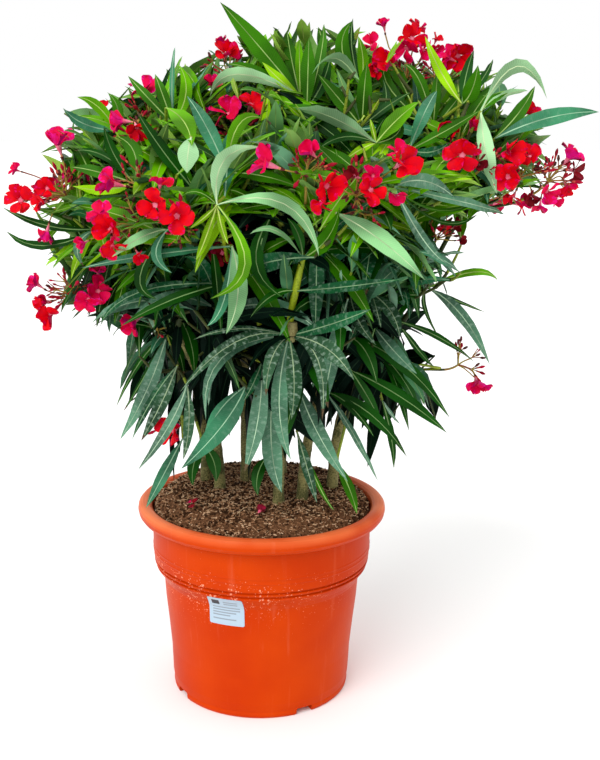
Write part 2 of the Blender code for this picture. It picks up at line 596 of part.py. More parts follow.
class Mass:
    """One mass of foliage: the room it may fill, the limbs it stays clear of, and its pieces."""

    def __init__(self, name, heart, centre, lean, shoots, spread, hangs):
        self.name = name
        self.rng = random.Random(name)
        self.heart = heart
        self.centre = centre
        self.lean = lean
        self.shoots = shoots
        self.spread = math.radians(spread)
        self.hangs = hangs
        self.droop = DROOP_SKIRT if hangs else DROOP_CROWN
        self.planes = []
        self.limbs = None
        self.pieces = []
        self.taken = []

    def set_space(self, others):
        """Bound the mass's space by the planes half way to the centres of the other masses."""
        self.planes = [((self.centre + other) / 2, (other - self.centre).normalized())
                       for other in others]

    def holds(self, points, leading):
        """True if the points are in the mass's space and, unless leading, the crown's outline."""
        for point in points:
            over_tub = point.xy.length < RIM_RADIUS + RIM_MARGIN
            if over_tub and point.z < SOIL_TOP + SOIL_MARGIN:
                return False
            if not leading and not in_outline(point):
                return False
            for place, normal in self.planes:
                if (point - place).dot(normal) > -SPACE_MARGIN:
                    return False
        return True

    def offer(self, whole, outer, leading=False):
        """Keep a piece if it fits. Its outer part, past its root, crosses no piece of the mass."""
        points = [vert.co for vert in whole.verts]
        fits = self.holds(points, leading)
        if fits:
            near = min(self.limbs.find_nearest(point)[3] for point in points)
            fits = near > LIMB_MARGIN and not BVHTree.FromBMesh(whole).overlap(self.limbs)
        if fits:
            tree = BVHTree.FromBMesh(outer)
            fits = not any(tree.overlap(other) for other in self.taken)
        if fits:
            self.keep(whole)
        return fits

    def keep(self, work):
        """Add a bmesh to the mass's pieces."""
        mesh = bpy.data.meshes.new("piece")
        work.to_mesh(mesh)
        self.pieces.append(mesh)
        self.taken.append(BVHTree.FromBMesh(work))

    def add_twig(self, start, end, first_radius=SHOOT_RADIUS, last_radius=SHOOT_TIP_RADIUS):
        """Add a three-sided twig if it fits."""
        past_joint = start + (end - start).normalized() * JOINT
        whole = prism(start, end, first_radius, last_radius)
        outer = prism(past_joint, end, first_radius, last_radius)
        return self.offer(whole, outer, True)

    def add_leaf(self, base, middle, tip, axis, leading=False):
        """Add a leaf if it fits. Its blade faces along its shoot's axis."""
        across = (tip - base).cross(axis).normalized()
        aim = (middle - base).normalized()
        whole = leaf(base - aim * LEAF_SINK, middle, tip, across, LEAF_WIDTH)
        outer = leaf(base + aim * JOINT, middle, tip, across, LEAF_WIDTH)
        return self.offer(whole, outer, leading)

    def add_whorl(self, place, axis, share, phase):
        """Three leaves round a shoot. Each tries new angles until it fits, or is skipped."""
        rng = self.rng
        splay = math.radians(SPLAY_OLD + (SPLAY_YOUNG - SPLAY_OLD) * share)
        wander, sway = LEAF_JITTER
        for number in range(3):
            for attempt in range(TRIES):
                turn = phase + number * math.tau / 3 + rng.uniform(-wander, wander)
                direction = tilted(axis, turn, splay + rng.uniform(-sway, sway))
                length = rng.uniform(*LEAF_LENGTH) * SHORTER ** attempt
                sag = self.droop * (DROOP_FALL - share) * rng.uniform(*DROOP_SPREAD)
                middle, tip = leaf_run(place, direction, length, sag)
                if self.add_leaf(place, middle, tip, axis):
                    break

    def add_head(self, head, count):
        """A flowering shoot: a twig up to the head, then blossoms on short stalks."""
        rng = self.rng
        axis = (head - self.heart).normalized()
        neck = head - axis * PEDICEL
        if not self.add_twig(self.heart + axis * HUB_START, neck):
            return
        self.keep(knuckle(neck, HEAD_KNUCKLE))
        for number in range(count):
            for _ in range(TRIES):
                polar = math.radians(rng.uniform(*(STALK_TILT if number else STALK_TILT_FIRST)))
                turn = number * GOLDEN_TURN + rng.uniform(-SHOOT_JITTER, SHOOT_JITTER)
                aim = tilted(axis, turn, polar)
                foot = neck + aim * PEDICEL * rng.uniform(*STALK_SPREAD)
                cup = prism(foot, foot + aim * BLOSSOM_DEPTH, 0, BLOSSOM_RADIUS, 5, turn)
                if self.offer(cup, cup, True):
                    self.keep(prism(neck + aim * HEAD_KNUCKLE / 2, foot + aim * PEDICEL_SINK,
                                    PEDICEL_RADIUS, PEDICEL_RADIUS))
                    break

    def add_stem(self, foot, aim):
        """The stem, square to the face that it meets, and the knuckle where it splits."""
        run = (self.heart - foot).normalized()
        if run.dot(aim) > STRAIGHT:
            self.keep(prism(foot, self.heart, STEM_RADIUS, STEM_RADIUS))
        else:
            elbow = foot + aim * STEM_STUB
            self.keep(prism(foot, elbow, STEM_RADIUS, STEM_RADIUS))
            self.keep(prism(elbow - run * STEM_OVERLAP, self.heart, STEM_RADIUS, STEM_RADIUS))
        self.keep(knuckle(self.heart, HUB_RADIUS))

    def add_leaders(self):
        """The shoots whose leaves reach the crown's top and its furthest tips."""
        grown = []
        for mass, node, tips in LEADERS:
            if mass != self.name:
                continue
            end = Vector(node)
            axis = (end - self.heart).normalized()
            if not self.add_twig(self.heart + axis * HUB_START, end + axis * TWIG_PAST):
                continue
            for aim in tips:
                tip = Vector(aim)
                arch = ARCH_SKIRT if self.hangs else ARCH_CROWN
                middle = (end + tip) / 2 + UP * (tip - end).length * arch
                self.add_leaf(end, middle, tip, axis, True)
            grown.append((self.heart + (end - self.heart) * LOWER_WHORL, axis))
        for lower, axis in grown:
            self.add_whorl(lower, axis, LOWER_WHORL, self.rng.uniform(0, math.tau))

    def add_shoots(self):
        """Shoots in a fan round the mass's lean, each with its whorls."""
        rng = self.rng
        start = rng.uniform(0, math.tau)
        for number in range(self.shoots):
            polar = self.spread * math.sqrt((number + 0.5) / self.shoots)
            for _ in range(TRIES):
                turn = start + number * GOLDEN_TURN + rng.uniform(-SHOOT_JITTER, SHOOT_JITTER)
                axis = tilted(self.lean, turn, polar)
                run = axis * rng.uniform(*SHOOT_LENGTH)
                if self.add_twig(self.heart + axis * HUB_START, self.heart + run):
                    phase = rng.uniform(0, math.tau)
                    for step, place in enumerate(WHORLS):
                        turn = phase + step * math.pi / 3
                        self.add_whorl(self.heart + run * place, axis, place, turn)
                    break


def fuse(name, pieces, collection, look):
    """Join the pieces into one solid by a Boolean union, and keep its one connected body."""
    base = add_object(name, pieces[0], collection, look)
    leaves = new_collection(f"{name}_pieces")
    for number, mesh in enumerate(pieces[1:]):
        add_object(f"{name}_piece_{number}", mesh, leaves)
    union = base.modifiers.new("Fuse", "BOOLEAN")
    union.operation = "UNION"
    union.operand_type = "COLLECTION"
    union.collection = leaves
    union.solver = "MANIFOLD"
    mesh = evaluated_mesh(base)
    base.modifiers.clear()
    base.data = mesh
    for item in list(leaves.objects):
        bpy.data.objects.remove(item)
    bpy.data.collections.remove(leaves)
    keep_largest(mesh)
    return base


def keep_largest(mesh):
    """Drop loose scraps and fill sealed hollows, by keeping the body with the most faces."""
    work = bmesh.new()
    work.from_mesh(mesh)
    unseen = set(work.verts)
    bodies = []
    while unseen:
        body = {unseen.pop()}
        edge = list(body)
        while edge:
            vert = edge.pop()
            near = {link.other_vert(vert) for link in vert.link_edges} & unseen
            unseen -= near
            body |= near
            edge.extend(near)
        bodies.append(body)
    bodies.sort(key=len)
    scraps = [vert for body in bodies[:-1] for vert in body]
    bmesh.ops.delete(work, geom=scraps, context="VERTS")
    work.to_mesh(mesh)
    work.free()


def joined_tree(meshes):
    """One search tree over the faces of several meshes."""
    work = bmesh.new()
    for mesh in meshes:
        work.from_mesh(mesh)
    tree = BVHTree.FromBMesh(work)
    work.free()
    return tree


def build_limbs(parts):
    """Canes, boughs, and each mass with its stem. Returns the limbs' meshes and the masses."""
    bark = material("old_bark", OLD_BARK, 0.8)
    young_bark = material("green_bark", GREEN_BARK, 0.6)
    canes = {cane[0]: cane for cane in CANES}
    limbs = [build_cane(cane, parts, bark) for cane in CANES]
    masses = []
    for name, cane, height, place, shoots, spread in CROWN:
        heart = Vector(place)
        lean = mass_lean(heart)
        bough = name.replace("crown_", "bough_")
        made, foot = build_bough(bough, canes[cane], height, heart, lean, parts, young_bark)
        limbs.append(made)
        mass = Mass(name, heart, heart + lean * CENTRE_AHEAD, lean, shoots, spread, False)
        mass.add_stem(foot, lean)
        masses.append(mass)
    for name, cane, height, place, shoots, spread in SKIRT:
        heart = Vector(place)
        lean = skirt_lean(heart)
        foot, aim = socket(canes[cane], height, heart)
        centre = heart + (lean - UP * SKIRT_HANG) * CENTRE_AHEAD
        mass = Mass(name, heart, centre, lean, shoots, spread, True)
        mass.add_stem(foot, aim)
        masses.append(mass)
    return [limb.data for limb in limbs], masses


def build_crown(parts):
    """Grow every mass in its own space, clear of the limbs and of the other masses' stems."""
    limbs, masses = build_limbs(parts)
    fresh = material("foliage", FOLIAGE, 0.5)
    aged = material("old_foliage", FOLIAGE_OLD, 0.55)
    stems = [(mass, list(mass.pieces)) for mass in masses]
    for mass in masses:
        mass.set_space([other.centre for other in masses if other is not mass])
        nearby = [piece for other, pieces in stems if other is not mass for piece in pieces]
        mass.limbs = joined_tree(limbs + nearby)
    for mass in masses:
        mass.add_leaders()
        for owner, head, count in BLOOMS:
            if owner == mass.name:
                mass.add_head(Vector(head), count)
        mass.add_shoots()
        fuse(mass.name, mass.pieces, parts, aged if mass.hangs else fresh)


def main():
    """Build the whole plant in its tub."""
    clear_scene()
    parts = new_collection("potted_oleander")
    cutters = new_collection("cutters")
    build_tub(parts, cutters)
    build_compost(parts)
    build_label(parts)
    build_crown(parts)


main()
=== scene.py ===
"""Potted oleander, dressed round its fixed frame: tub, compost, canes, leaves and blossom.

Units are metres and +Z is up. The origin is the centre of the tub's flat underside, and the plant's
fullest side faces -Y. The limbs and the masses of foliage grow by the rule that made the frame's
plain solids, carried on to finer shoots, whorls of thin leaves and heads of open blossom.
"""
import math
import random

import bpy
from mathutils import Matrix, Vector


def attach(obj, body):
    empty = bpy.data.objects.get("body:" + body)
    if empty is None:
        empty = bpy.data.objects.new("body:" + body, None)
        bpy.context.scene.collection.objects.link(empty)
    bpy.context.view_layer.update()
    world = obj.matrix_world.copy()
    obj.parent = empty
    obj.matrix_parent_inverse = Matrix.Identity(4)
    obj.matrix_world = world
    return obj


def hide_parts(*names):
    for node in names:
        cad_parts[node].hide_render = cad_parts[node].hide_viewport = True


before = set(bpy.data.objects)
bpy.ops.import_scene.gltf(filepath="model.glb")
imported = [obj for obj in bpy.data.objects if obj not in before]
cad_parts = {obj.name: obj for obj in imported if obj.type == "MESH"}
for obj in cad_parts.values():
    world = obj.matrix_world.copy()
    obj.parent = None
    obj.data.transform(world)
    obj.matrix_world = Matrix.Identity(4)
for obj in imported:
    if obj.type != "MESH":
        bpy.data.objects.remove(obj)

bpy.ops.object.select_all(action="DESELECT")
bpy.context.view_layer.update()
UP = Vector((0, 0, 1))
MM = 0.001
BODY = "root"

# ---- the view: its size in pixels, its focal length in pixels, and where the eye stands
VIEW = (600, 760)
VIEW_FOCAL = 1121.0
EYE = Vector((0.0, -1.651, 0.866))
EYE_YAW = math.radians(-1.93)
EYE_PITCH = math.radians(12.93)
EYE_ROLL = math.radians(0.9)
SENSOR = 36                       # width of the camera's sensor, in millimetres

# ---- the one lamp: where it stands, where it points, its strength and how soft it is
SUN_PLACE = (-1.3, -2.0, 2.6)
SUN_AIM = Vector((0, 0, 0.6))
SUN_ENERGY = 1.8
SUN_SPREAD = math.radians(40)

# ---- tub: its sides, and its profile round the foot, the outer side, the rim and the inside, as
# radius and height
TUB_SIDES = 144
TUB_RINGS = (
    (0.1225, 0.0030), (0.1260, 0.0000), (0.1345, 0.0000), (0.1366, 0.0018), (0.1374, 0.0060),
    (0.1366, 0.0098), (0.1372, 0.0130), (0.1387, 0.0230), (0.1404, 0.0650), (0.1444, 0.1060),
    (0.1490, 0.1480), (0.1510, 0.1770), (0.1516, 0.1812), (0.1555, 0.1890), (0.1608, 0.1965),
    (0.1634, 0.2000), (0.1641, 0.2022), (0.1610, 0.2036), (0.1609, 0.2050), (0.1645, 0.2062),
    (0.1658, 0.2078), (0.1661, 0.2094), (0.1630, 0.2106), (0.1629, 0.2120), (0.1662, 0.2132),
    (0.1667, 0.2160), (0.1671, 0.2250), (0.1680, 0.2268), (0.1673, 0.2290), (0.1674, 0.2320),
    (0.1682, 0.2340), (0.1676, 0.2362), (0.1679, 0.2600), (0.1682, 0.2715), (0.1700, 0.2735),
    (0.1790, 0.2755), (0.1850, 0.2788), (0.1887, 0.2840), (0.1900, 0.2898), (0.1892, 0.2948),
    (0.1866, 0.2980), (0.1826, 0.2997), (0.1780, 0.3000), (0.1736, 0.2990), (0.1700, 0.2962),
    (0.1682, 0.2918), (0.1678, 0.2850), (0.1650, 0.2700), (0.1622, 0.2130), (0.1466, 0.1810),
    (0.1320, 0.0200), (0.1240, 0.0120), (0.0040, 0.0120),
)
FOOT_RADIUS = 0.1345
RIM_RADIUS = 0.190
DRAIN_ANGLES = (29, 119, 209, 299)
DRAIN_SIZE = (0.028, 0.016, 0.010)
DRAIN_ROUNDING = 0.003
TUB_SHARP = math.radians(38)      # an edge of the tub that bends more than this stays crisp

# ---- label, and its print as plain bars: rows, left and right end as shares of the width, look
LABEL_WIDTH = 0.054
LABEL_HEIGHT = 0.046
LABEL_MIDDLE_HEIGHT = 0.176
LABEL_ANGLE = math.radians(-19.5)
LABEL_CORNER = 0.0025
LABEL_THICKNESS = 0.0004
LABEL_COLUMNS = 18
LABEL_ROWS = 22
LABEL_LOOKS = ("paper", "label_print", "label_faint")
LABEL_PRINT = (
    ((2, 3, 4, 5), -0.40, -0.16, 1), ((3, 5), -0.08, 0.36, 2), ((8, 10), -0.40, 0.38, 2),
    ((12, 17), -0.40, 0.30, 2), ((14,), -0.40, 0.10, 2),
)

# ---- compost: its flat top, and the rings of its edge down to where the wall hides it
SOIL_TOP = 0.318
SOIL_FLAT_RADIUS = 0.128
MOUND_SIDES = 96
MOUND_RINGS = [(0.003 + 0.0052 * step, SOIL_TOP) for step in range(25)] + [
    (0.1330, 0.3170), (0.1380, 0.3150), (0.1430, 0.3125), (0.1480, 0.3092), (0.1530, 0.3045),
    (0.1580, 0.2995), (0.1630, 0.2935), (0.1668, 0.2870), (0.1640, 0.2700), (0.1560, 0.2500),
]
MOUND_LUMPS = (-0.0022, 0.0012)   # how far its top sinks and rises
MOUND_LUMPY = 0.150               # radius out to which it is lumpy
SOIL_FALL = 0.030                 # how far its edge falls, over a distance
SOIL_EDGE = 0.040
BITS = 7000                       # loose bits strewn on it, out to a radius
BED_RADIUS = 0.164
TUB_CLEARANCE = 0.012             # how near to the compost or the rim a leaf may come
LOWEST = 0.26                     # height below which no leaf hangs, beside the tub
# kinds of bit: share, length, width, thickness
BIT_KINDS = {
    "chip": (6, (0.0018, 0.0060), (0.0012, 0.0030), 0.0012),
    "crumb": (7, (0.0014, 0.0038), (0.0014, 0.0032), 0.0018),
    "clod": (6, (0.0020, 0.0050), (0.0020, 0.0040), 0.0026),
    "fibre": (3, (0.005, 0.013), (0.0005, 0.0010), 0.0007),
    "straw": (0.4, (0.010, 0.024), (0.0008, 0.0015), 0.0006),
}
# blossom that has fallen on the compost, as (across, down) in the view: petals, and the foot and
# the mouth of a flower
FALLEN_PETALS = ((184, 504), (190, 501), (187, 507))
FALLEN_FOOT = (257, 517)
FALLEN_MOUTH = (274, 502)
FALLEN_SIZE = 0.55

# ---- canes: name, foot (x, y), tip (x, y, z)
CANES = (
    ("cane_left", (-0.065, -0.010), (-0.118, -0.052, 0.560)),
    ("cane_back_left", (-0.088, 0.030), (-0.132, 0.070, 0.570)),
    ("cane_middle", (-0.026, 0.030), (-0.034, 0.014, 0.610)),
    ("cane_front", (0.024, -0.074), (0.034, -0.104, 0.572)),
    ("cane_front_right", (0.060, -0.056), (0.118, -0.078, 0.575)),
    ("cane_right", (0.108, -0.002), (0.168, 0.004, 0.575)),
    ("cane_back", (0.030, 0.066), (0.036, 0.106, 0.590)),
)
CANE_RADIUS = 0.0080
CANE_TIP_RADIUS = 0.0066
FLARE = 0.20
FLARE_HEIGHT = 0.012
SCAR_GAPS = (0.014, 0.030)        # between the rings that old leaves left on a cane
SCAR_RISE = 0.07
SCAR_LENGTH = 0.0022
CANE_STEPS = 70
CANE_LUMPS = (0.010, 0.0016)      # size and height of the bark's lumps
BOUGH_LUMPS = (0.006, 0.0006)
BOUGH_STEPS = 14
BOUGH_RADIUS = 0.0046
BOUGH_TIP_RADIUS = 0.0034
STEM_LENGTH = 0.022               # from a bough's end to the heart of its mass
GAP = 0.0003                      # clearance between neighbours

# ---- masses of foliage: name, cane, height where the limb leaves it (None is the cane's tip),
# heart (x, y, z), shoots, spread (degrees)
CROWN = (
    ("crown_front_left", "cane_left", None, (-0.085, -0.130, 0.700), 6, 80),
    ("crown_front", "cane_front", None, (0.055, -0.135, 0.700), 6, 80),
    ("crown_front_right", "cane_front_right", None, (0.150, -0.120, 0.705), 6, 80),
    ("crown_far_left", "cane_left", 0.525, (-0.205, -0.035, 0.690), 6, 70),
    ("crown_upper_left", "cane_back_left", None, (-0.140, -0.010, 0.775), 6, 66),
    ("crown_top_left", "cane_middle", None, (-0.020, -0.030, 0.825), 6, 60),
    ("crown_top", "cane_middle", 0.585, (0.105, -0.030, 0.835), 6, 60),
    ("crown_top_right", "cane_right", None, (0.205, 0.020, 0.830), 6, 60),
    ("crown_upper_right", "cane_front_right", 0.540, (0.260, -0.055, 0.790), 6, 66),
    ("crown_far_right", "cane_right", 0.548, (0.300, 0.045, 0.735), 6, 70),
    ("crown_low_left", "cane_back_left", 0.530, (-0.175, 0.010, 0.600), 6, 80),
    ("crown_low_right", "cane_right", 0.520, (0.200, -0.010, 0.615), 6, 80),
    ("crown_stray", "cane_right", 0.470, (0.245, 0.055, 0.492), 2, 40),
    ("crown_back_left", "cane_back_left", 0.550, (-0.120, 0.130, 0.710), 6, 80),
    ("crown_back", "cane_back", None, (0.020, 0.160, 0.720), 6, 80),
    ("crown_back_right", "cane_back", 0.560, (0.160, 0.140, 0.720), 6, 80),
    ("crown_back_top", "cane_back", 0.575, (0.055, 0.085, 0.830), 6, 66),
)
SKIRT = (
    ("skirt_upper_left", "cane_left", 0.500, (-0.075, -0.095, 0.615), 5, 85),
    ("skirt_upper_right", "cane_front_right", 0.505, (0.100, -0.110, 0.620), 5, 85),
    ("skirt_upper_back", "cane_back", 0.530, (0.030, 0.130, 0.620), 5, 85),
    ("skirt_left", "cane_left", 0.440, (-0.125, -0.020, 0.505), 5, 75),
    ("skirt_front_left", "cane_front", 0.520, (-0.040, -0.085, 0.545), 5, 75),
    ("skirt_front_right", "cane_front", 0.490, (0.050, -0.115, 0.545), 5, 75),
    ("skirt_right", "cane_front_right", 0.470, (0.150, -0.040, 0.545), 5, 75),
    ("skirt_back_left", "cane_back_left", 0.470, (-0.065, 0.095, 0.545), 5, 75),
    ("skirt_back_right", "cane_back", 0.480, (0.095, 0.095, 0.545), 5, 75),
)
# pieces that the leaves are gathered into, and the masses in each
LEAF_PIECES = {
    "leaves_front": ("crown_front_left", "crown_front", "crown_front_right"),
    "leaves_left": ("crown_far_left", "crown_upper_left", "crown_low_left"),
    "leaves_top": ("crown_top_left", "crown_top", "crown_top_right", "crown_back_top"),
    "leaves_right": ("crown_upper_right", "crown_far_right", "crown_low_right", "crown_stray"),
    "leaves_back": ("crown_back_left", "crown_back", "crown_back_right"),
    "leaves_skirt": tuple(row[0] for row in SKIRT),
}

# ---- crown's outline: height, and how far it reaches to the left and the right at that height
OUTLINE = (
    (0.310, -0.170, 0.175), (0.380, -0.185, 0.215), (0.450, -0.215, 0.275), (0.550, -0.225, 0.270),
    (0.600, -0.305, 0.280), (0.720, -0.330, 0.300), (0.780, -0.355, 0.415), (0.850, -0.300, 0.415),
    (0.900, -0.255, 0.395), (0.940, -0.160, 0.350), (0.980, -0.065, 0.250), (1.010, 0.000, 0.180),
)
OUTLINE_DEPTH = 0.88
FRONT = -0.285                    # how far forwards and back the rule's leaves may reach
BACK = 0.320
# holes through the crown where nothing shows, as (across, down, radius) in the view
HOLES = (
    (247, 358, 4), (230, 390, 5), (192, 356, 3), (321, 313, 4), (232, 450, 8), (259, 448, 5),
    (298, 427, 4), (338, 440, 6), (142, 362, 3), (139, 380, 4), (286, 215, 3), (270, 255, 3),
    (445, 240, 12), (432, 310, 9), (422, 326, 6), (258, 20, 14), (316, 14, 10), (338, 22, 8),
    (382, 22, 14), (395, 40, 6), (450, 30, 10), (512, 70, 9), (520, 105, 7), (86, 94, 5), (140, 76, 8),
    (195, 60, 8), (28, 170, 8), (30, 222, 5), (60, 285, 6), (112, 350, 12), (414, 341, 9),
    (62, 238, 8), (31, 182, 6), (440, 227, 6), (502, 110, 7), (531, 197, 6), (488, 112, 4), (341, 443, 6),
    (144, 332, 4), (155, 431, 4), (159, 380, 4), (403, 314, 5), (376, 373, 3), (432, 354, 6),
    (452, 345, 12), (472, 350, 10), (458, 300, 8), (478, 265, 6), (466, 325, 12),
)

# ---- growth
CROWN_FOOT = Vector((0.020, 0.0, 0.500))
LEAN_UP = 0.45
SKIRT_UP = 0.30
GOLDEN_TURN = math.radians(137.5)
SHOOT_LENGTH = (0.085, 0.125)
SHOOT_RADIUS = 0.0030
SHOOT_TIP_RADIUS = 0.0017
WHORL_STEP = 0.0160               # distance between whorls along a shoot
WHORL_START = 0.016
SIDE_SHOOTS = (1, 2, 3, 4)        # points of a shoot's line where its side shoots leave it
SKIRT_SIDE_SHOOTS = (2,)
SIDE_LENGTH = (0.050, 0.085)
LEAF_LENGTH = (0.125, 0.175)
LEAF_WIDTH = (0.021, 0.029)
SPLAY_OLD = 88                    # angle at which leaves stand off the shoot, low down and at its tip
SPLAY_YOUNG = 24
SPLAY_JITTER = 14
TIP_SHARE = 0.20                  # in this last part of a shoot leaves get shorter, by up to
TIP_SHORTER = 0.28
RETRY_SHORTER = 0.96              # a leaf that found no room is tried again a little shorter
DROOP = 0.75                      # how far a leaf bows down, in the crown and in the skirt
DROOP_HANGING = 1.35
DROOP_CURVE = 1.3
LEAD_FOLD = 0.20                  # how far a leading leaf's halves fold up
LEADER_RADII = [SHOOT_RADIUS - 0.0008 * step / 6 for step in range(7)]
LEADER_LOOKS = ["shoot_old"] * 4 + ["shoot"] * 2
SPEAR_LENGTH = (0.030, 0.050)     # young rolled leaves at a shoot's tip
SPEAR_WIDTH = 0.008
SPEARS = 0.08                     # share of shoots with them, above a height
SPEARS_ABOVE = 0.74
YOUNG_ABOVE = 0.72                # height above which a mass's side shoots have young tips
GREEN_ABOVE = 0.62                # height above which a shoot is green, from a share of its length
GREEN_FROM = 0.45
TRIES = 7                         # tries that a leaf has to find room
CELL = 0.009                      # size of a cell of the room that leaves take up
CROWDED = 0.30                    # share of a leaf's points whose cells may be taken already
SIGHT = 5                         # size of a kept line of sight, in pixels of the view
SIGHT_DEPTH = 0.09                # furthest point along Y that the view keeps a line of sight to
SIGHT_MARGIN = 0.004
HIDING = 0.06                     # share of a leaf's points that may stand in a line of sight
GLIMPSE = 4                       # size of a cell of what the view shows, in the same pixels
ENCLOSED = 6                      # cells within which a gap has leaves on every side
GAP_ROWS = (50, 400)              # rows and columns of the view between which gaps are filled
GAP_COLUMNS = (70, 500)
GAP_DEPTH = (-0.02, 0.10)
GAP_LENGTH = (0.09, 0.13)
GAP_TILT = (20, 120)

# ---- which kind of leaf grows where
# height up to which a row holds, and how near the crown's middle leaves there are painted in shade with the
# near-black kind
INNER = ((0.62, 0.74), (0.77, 0.55), (math.inf, 0.22))
INNER_HEIGHT = 0.88               # above this height, and past the half-width, no leaf is painted in shade
INNER_HALF = 0.20
SUNNY_SIDE = -0.08                # left of this, on the side the lamp lights, leaves take the brighter kinds of higher up: painted light
SUNNY_LIFT = 0.06
# height up to which a row holds, where along a shoot its young end starts, kinds there and below
PICKS = (
    (0.58, 0.90, {"green": 3, "deep": 3}, {"old": 4, "deep": 6, "grey": 2}),
    (0.72, 0.85, {"fresh": 4, "green": 3, "tip": 1}, {"deep": 4, "green": 4, "old": 2, "teal": 2}),
    (math.inf, 0.80, {"fresh": 5, "tip": 4, "green": 1},
     {"green": 3, "fresh": 9, "tip": 1.5, "deep": 1, "teal": 1}),
)
GAP_GREEN_ABOVE = 0.75            # height above which the leaves in gaps are green
GAP_PICKS_HIGH = {"deep": 3, "green": 3}
# low down, gaps are filled mostly with the near-black leaves that are painted shade
GAP_PICKS_LOW = {"inner": 3, "deep": 2}

# ---- leaf
LEAF_ROWS = (0, 0.035, 0.09, 0.17, 0.27, 0.38, 0.50, 0.62, 0.73, 0.83, 0.92, 1)
PETIOLE = 0.035
PETIOLE_HALF = 0.0013
RIB_HALF = 0.0008
LEAF_THICKNESS = 0.0010
LEAF_FOLD = (0.12, 0.42)          # how far its halves fold up, and its edges' waves
LEAF_WAVE = (0.0003, 0.0014)
LEAF_WAVES = (2.0, 4.5)
LEAF_TWIST = 28
LEAF_SHARP = math.radians(75)     # an edge of a leaf that bends more than this stays crisp
LEAF_START = 0.12                 # share of its length from which a leaf takes up room
WITHERING = ("deep", "grey", "dusty", "old")   # kinds with here and there a brown tip
WITHERED = 0.16
VEIN_SPACING = 0.0030             # side veins lie 1 mm apart in life; 3 mm here, so that they show
VEIN_SLOPE = 0.45
WAX_IOR = 1.42

# ---- blossom
PETAL_ROWS = (0, 0.16, 0.36, 0.58, 0.78, 0.92, 1)
PETAL_COLUMNS = (-1, -0.5, 0, 0.5, 1)
PETAL_LENGTH = 0.0215
PETAL_HALF = 0.0092
PETAL_FOOT_HALF = 0.0020
PETAL_WIDEST = 0.68
PETAL_THICKNESS = 0.0005
PETAL_SKEW = 0.45                 # a petal leans to one side, like a blade of a pinwheel
TUBE_LENGTH = 0.019
THROAT_RADIUS = 0.0040
FRINGE = 7                        # threads of the fringe in the throat
STALKS = ("stalk", "stalk_green", "stalk_green")
BUD_SHARE = 1.6                   # buds that grow for each one counted
SPENT = 0.3                       # share of buds that are a spent calyx
HEAD_SPREAD = 75
OPENNESS = (0.62, 1.35)           # how far a flower's petals spread, and how far it tilts at random
FLOWER_TILT = 28
PEDUNCLE_RADII = [0.0026 - 0.0009 * step / 8 for step in range(9)]
FLOWER_STALK = 0.0010             # radii of a flower's stalk, a branch of buds and a bud's stalk
BUD_BRANCH = 0.0012
BUD_STALK = 0.0008
FUNNEL_HEIGHTS = (0.0015, 0.007, 0.013, TUBE_LENGTH)
FUNNEL_RADII = (0.0013, 0.0015, 0.0028, THROAT_RADIUS)
FRINGE_RING = 0.0026
FRINGE_LENGTH = 0.0052
BUD_SHARES = (0, 0.16, 0.40, 0.66, 0.88, 1)
BUD_RADII = (0.0012, 0.0016, 0.0017, 0.0030, 0.0017, 0.0002)
BUD_GROWN = 0.018                 # a bud shorter than this is thinner too

# ---- looks. Leaves: upper side, underside, midrib, roughness, how dusty it is, and its shine
LEAF_KINDS = {
    "tip": ("#80B408", "#8FB648", "#C0D270", 0.42, 0.0, 0.10),
    "fresh": ("#529000", "#78A454", "#ACC868", 0.40, 0.0, 0.10),
    "green": ("#2A6000", "#66945A", "#98B868", 0.38, 0.0, 0.10),
    "deep": ("#0C3E03", "#467650", "#7A9C60", 0.36, 0.0, 0.12),
    "pale": ("#78AC74", "#90BC8A", "#C6DCAC", 0.42, 0.0, 0.20),
    "teal": ("#2E6E4C", "#6CA480", "#9CC6A2", 0.36, 0.15, 0.22),
    "grey": ("#446E54", "#7CA88A", "#A8C6A4", 0.40, 0.45, 0.22),
    "dusty": ("#24462C", "#5E7C60", "#98AE88", 0.46, 0.75, 0.14),
    "old": ("#0A4624", "#447254", "#80A078", 0.38, 0.35, 0.16),
    # the near-black kind is painted shade: it stands for the shade deep in the crown, not for a darker leaf
    "inner": ("#02120A", "#06180C", "#18321E", 0.55, 0.0, 0.05),
}
# bark and stalks: material, colour, spots, roughness
BARKS = {
    "withered": ("withered_tip", "#54442C", "#3A2C1C", 0.8),
    "sheath": ("dry_sheath", "#8C8656", "#6E6238", 0.8),
    "shoot": ("green_shoot", "#8C9C2C", "#6F7E26", 0.45),
    "stem": ("young_stem", "#8FA018", "#6F8214", 0.45),
    # old shoots: olive bark, darkened further as painted shade, since they stand deep in the crown's shade
    "shoot_old": ("olive_shoot_shade_darkened", "#344016", "#444820", 0.55),
    "stalk": ("flower_stalk", "#96522E", "#823024", 0.55),
    "stalk_green": ("green_flower_stalk", "#A0903A", "#A8703C", 0.55),
    "calyx": ("calyx", "#5E1820", "#4A2418", 0.55),
    "bark": ("cane_bark", "#50502A", "#8A8250", 0.75),
    # bough bark: young green bark, darkened further as painted shade, since the boughs stand in the crown's
    # shade
    "green_bark": ("bough_bark", "#2E3A14", "#262F10", 0.6),
}
# petals and buds: material, colour, streaks
PETALS = {
    "petal": ("red_petal_face", "#D60010", "#C20020"),
    "petal_back": ("red_petal_back", "#CA0046", "#DC1068"),
    "pink": ("magenta_petal_face", "#D6044C", "#CC0032"),
    "pink_back": ("magenta_petal_back", "#E01686", "#CE0858"),
    "petal_dark": ("fading_petal_face", "#7E0A18", "#5E0A14"),
    "petal_dark_back": ("fading_petal_back", "#6A0C22", "#8A1434"),
    "throat": ("throat_fringe", "#D85868", "#CC3848"),
    "tube": ("flower_tube", "#DC5A78", "#E88AA0"),
    "tube_foot": ("flower_tube_foot", "#E0A070", "#D08060"),
    "bud": ("bud_tip", "#8E1024", "#B41438"),
    "bud_foot": ("bud_foot", "#C86048", "#A83A3C"),
}
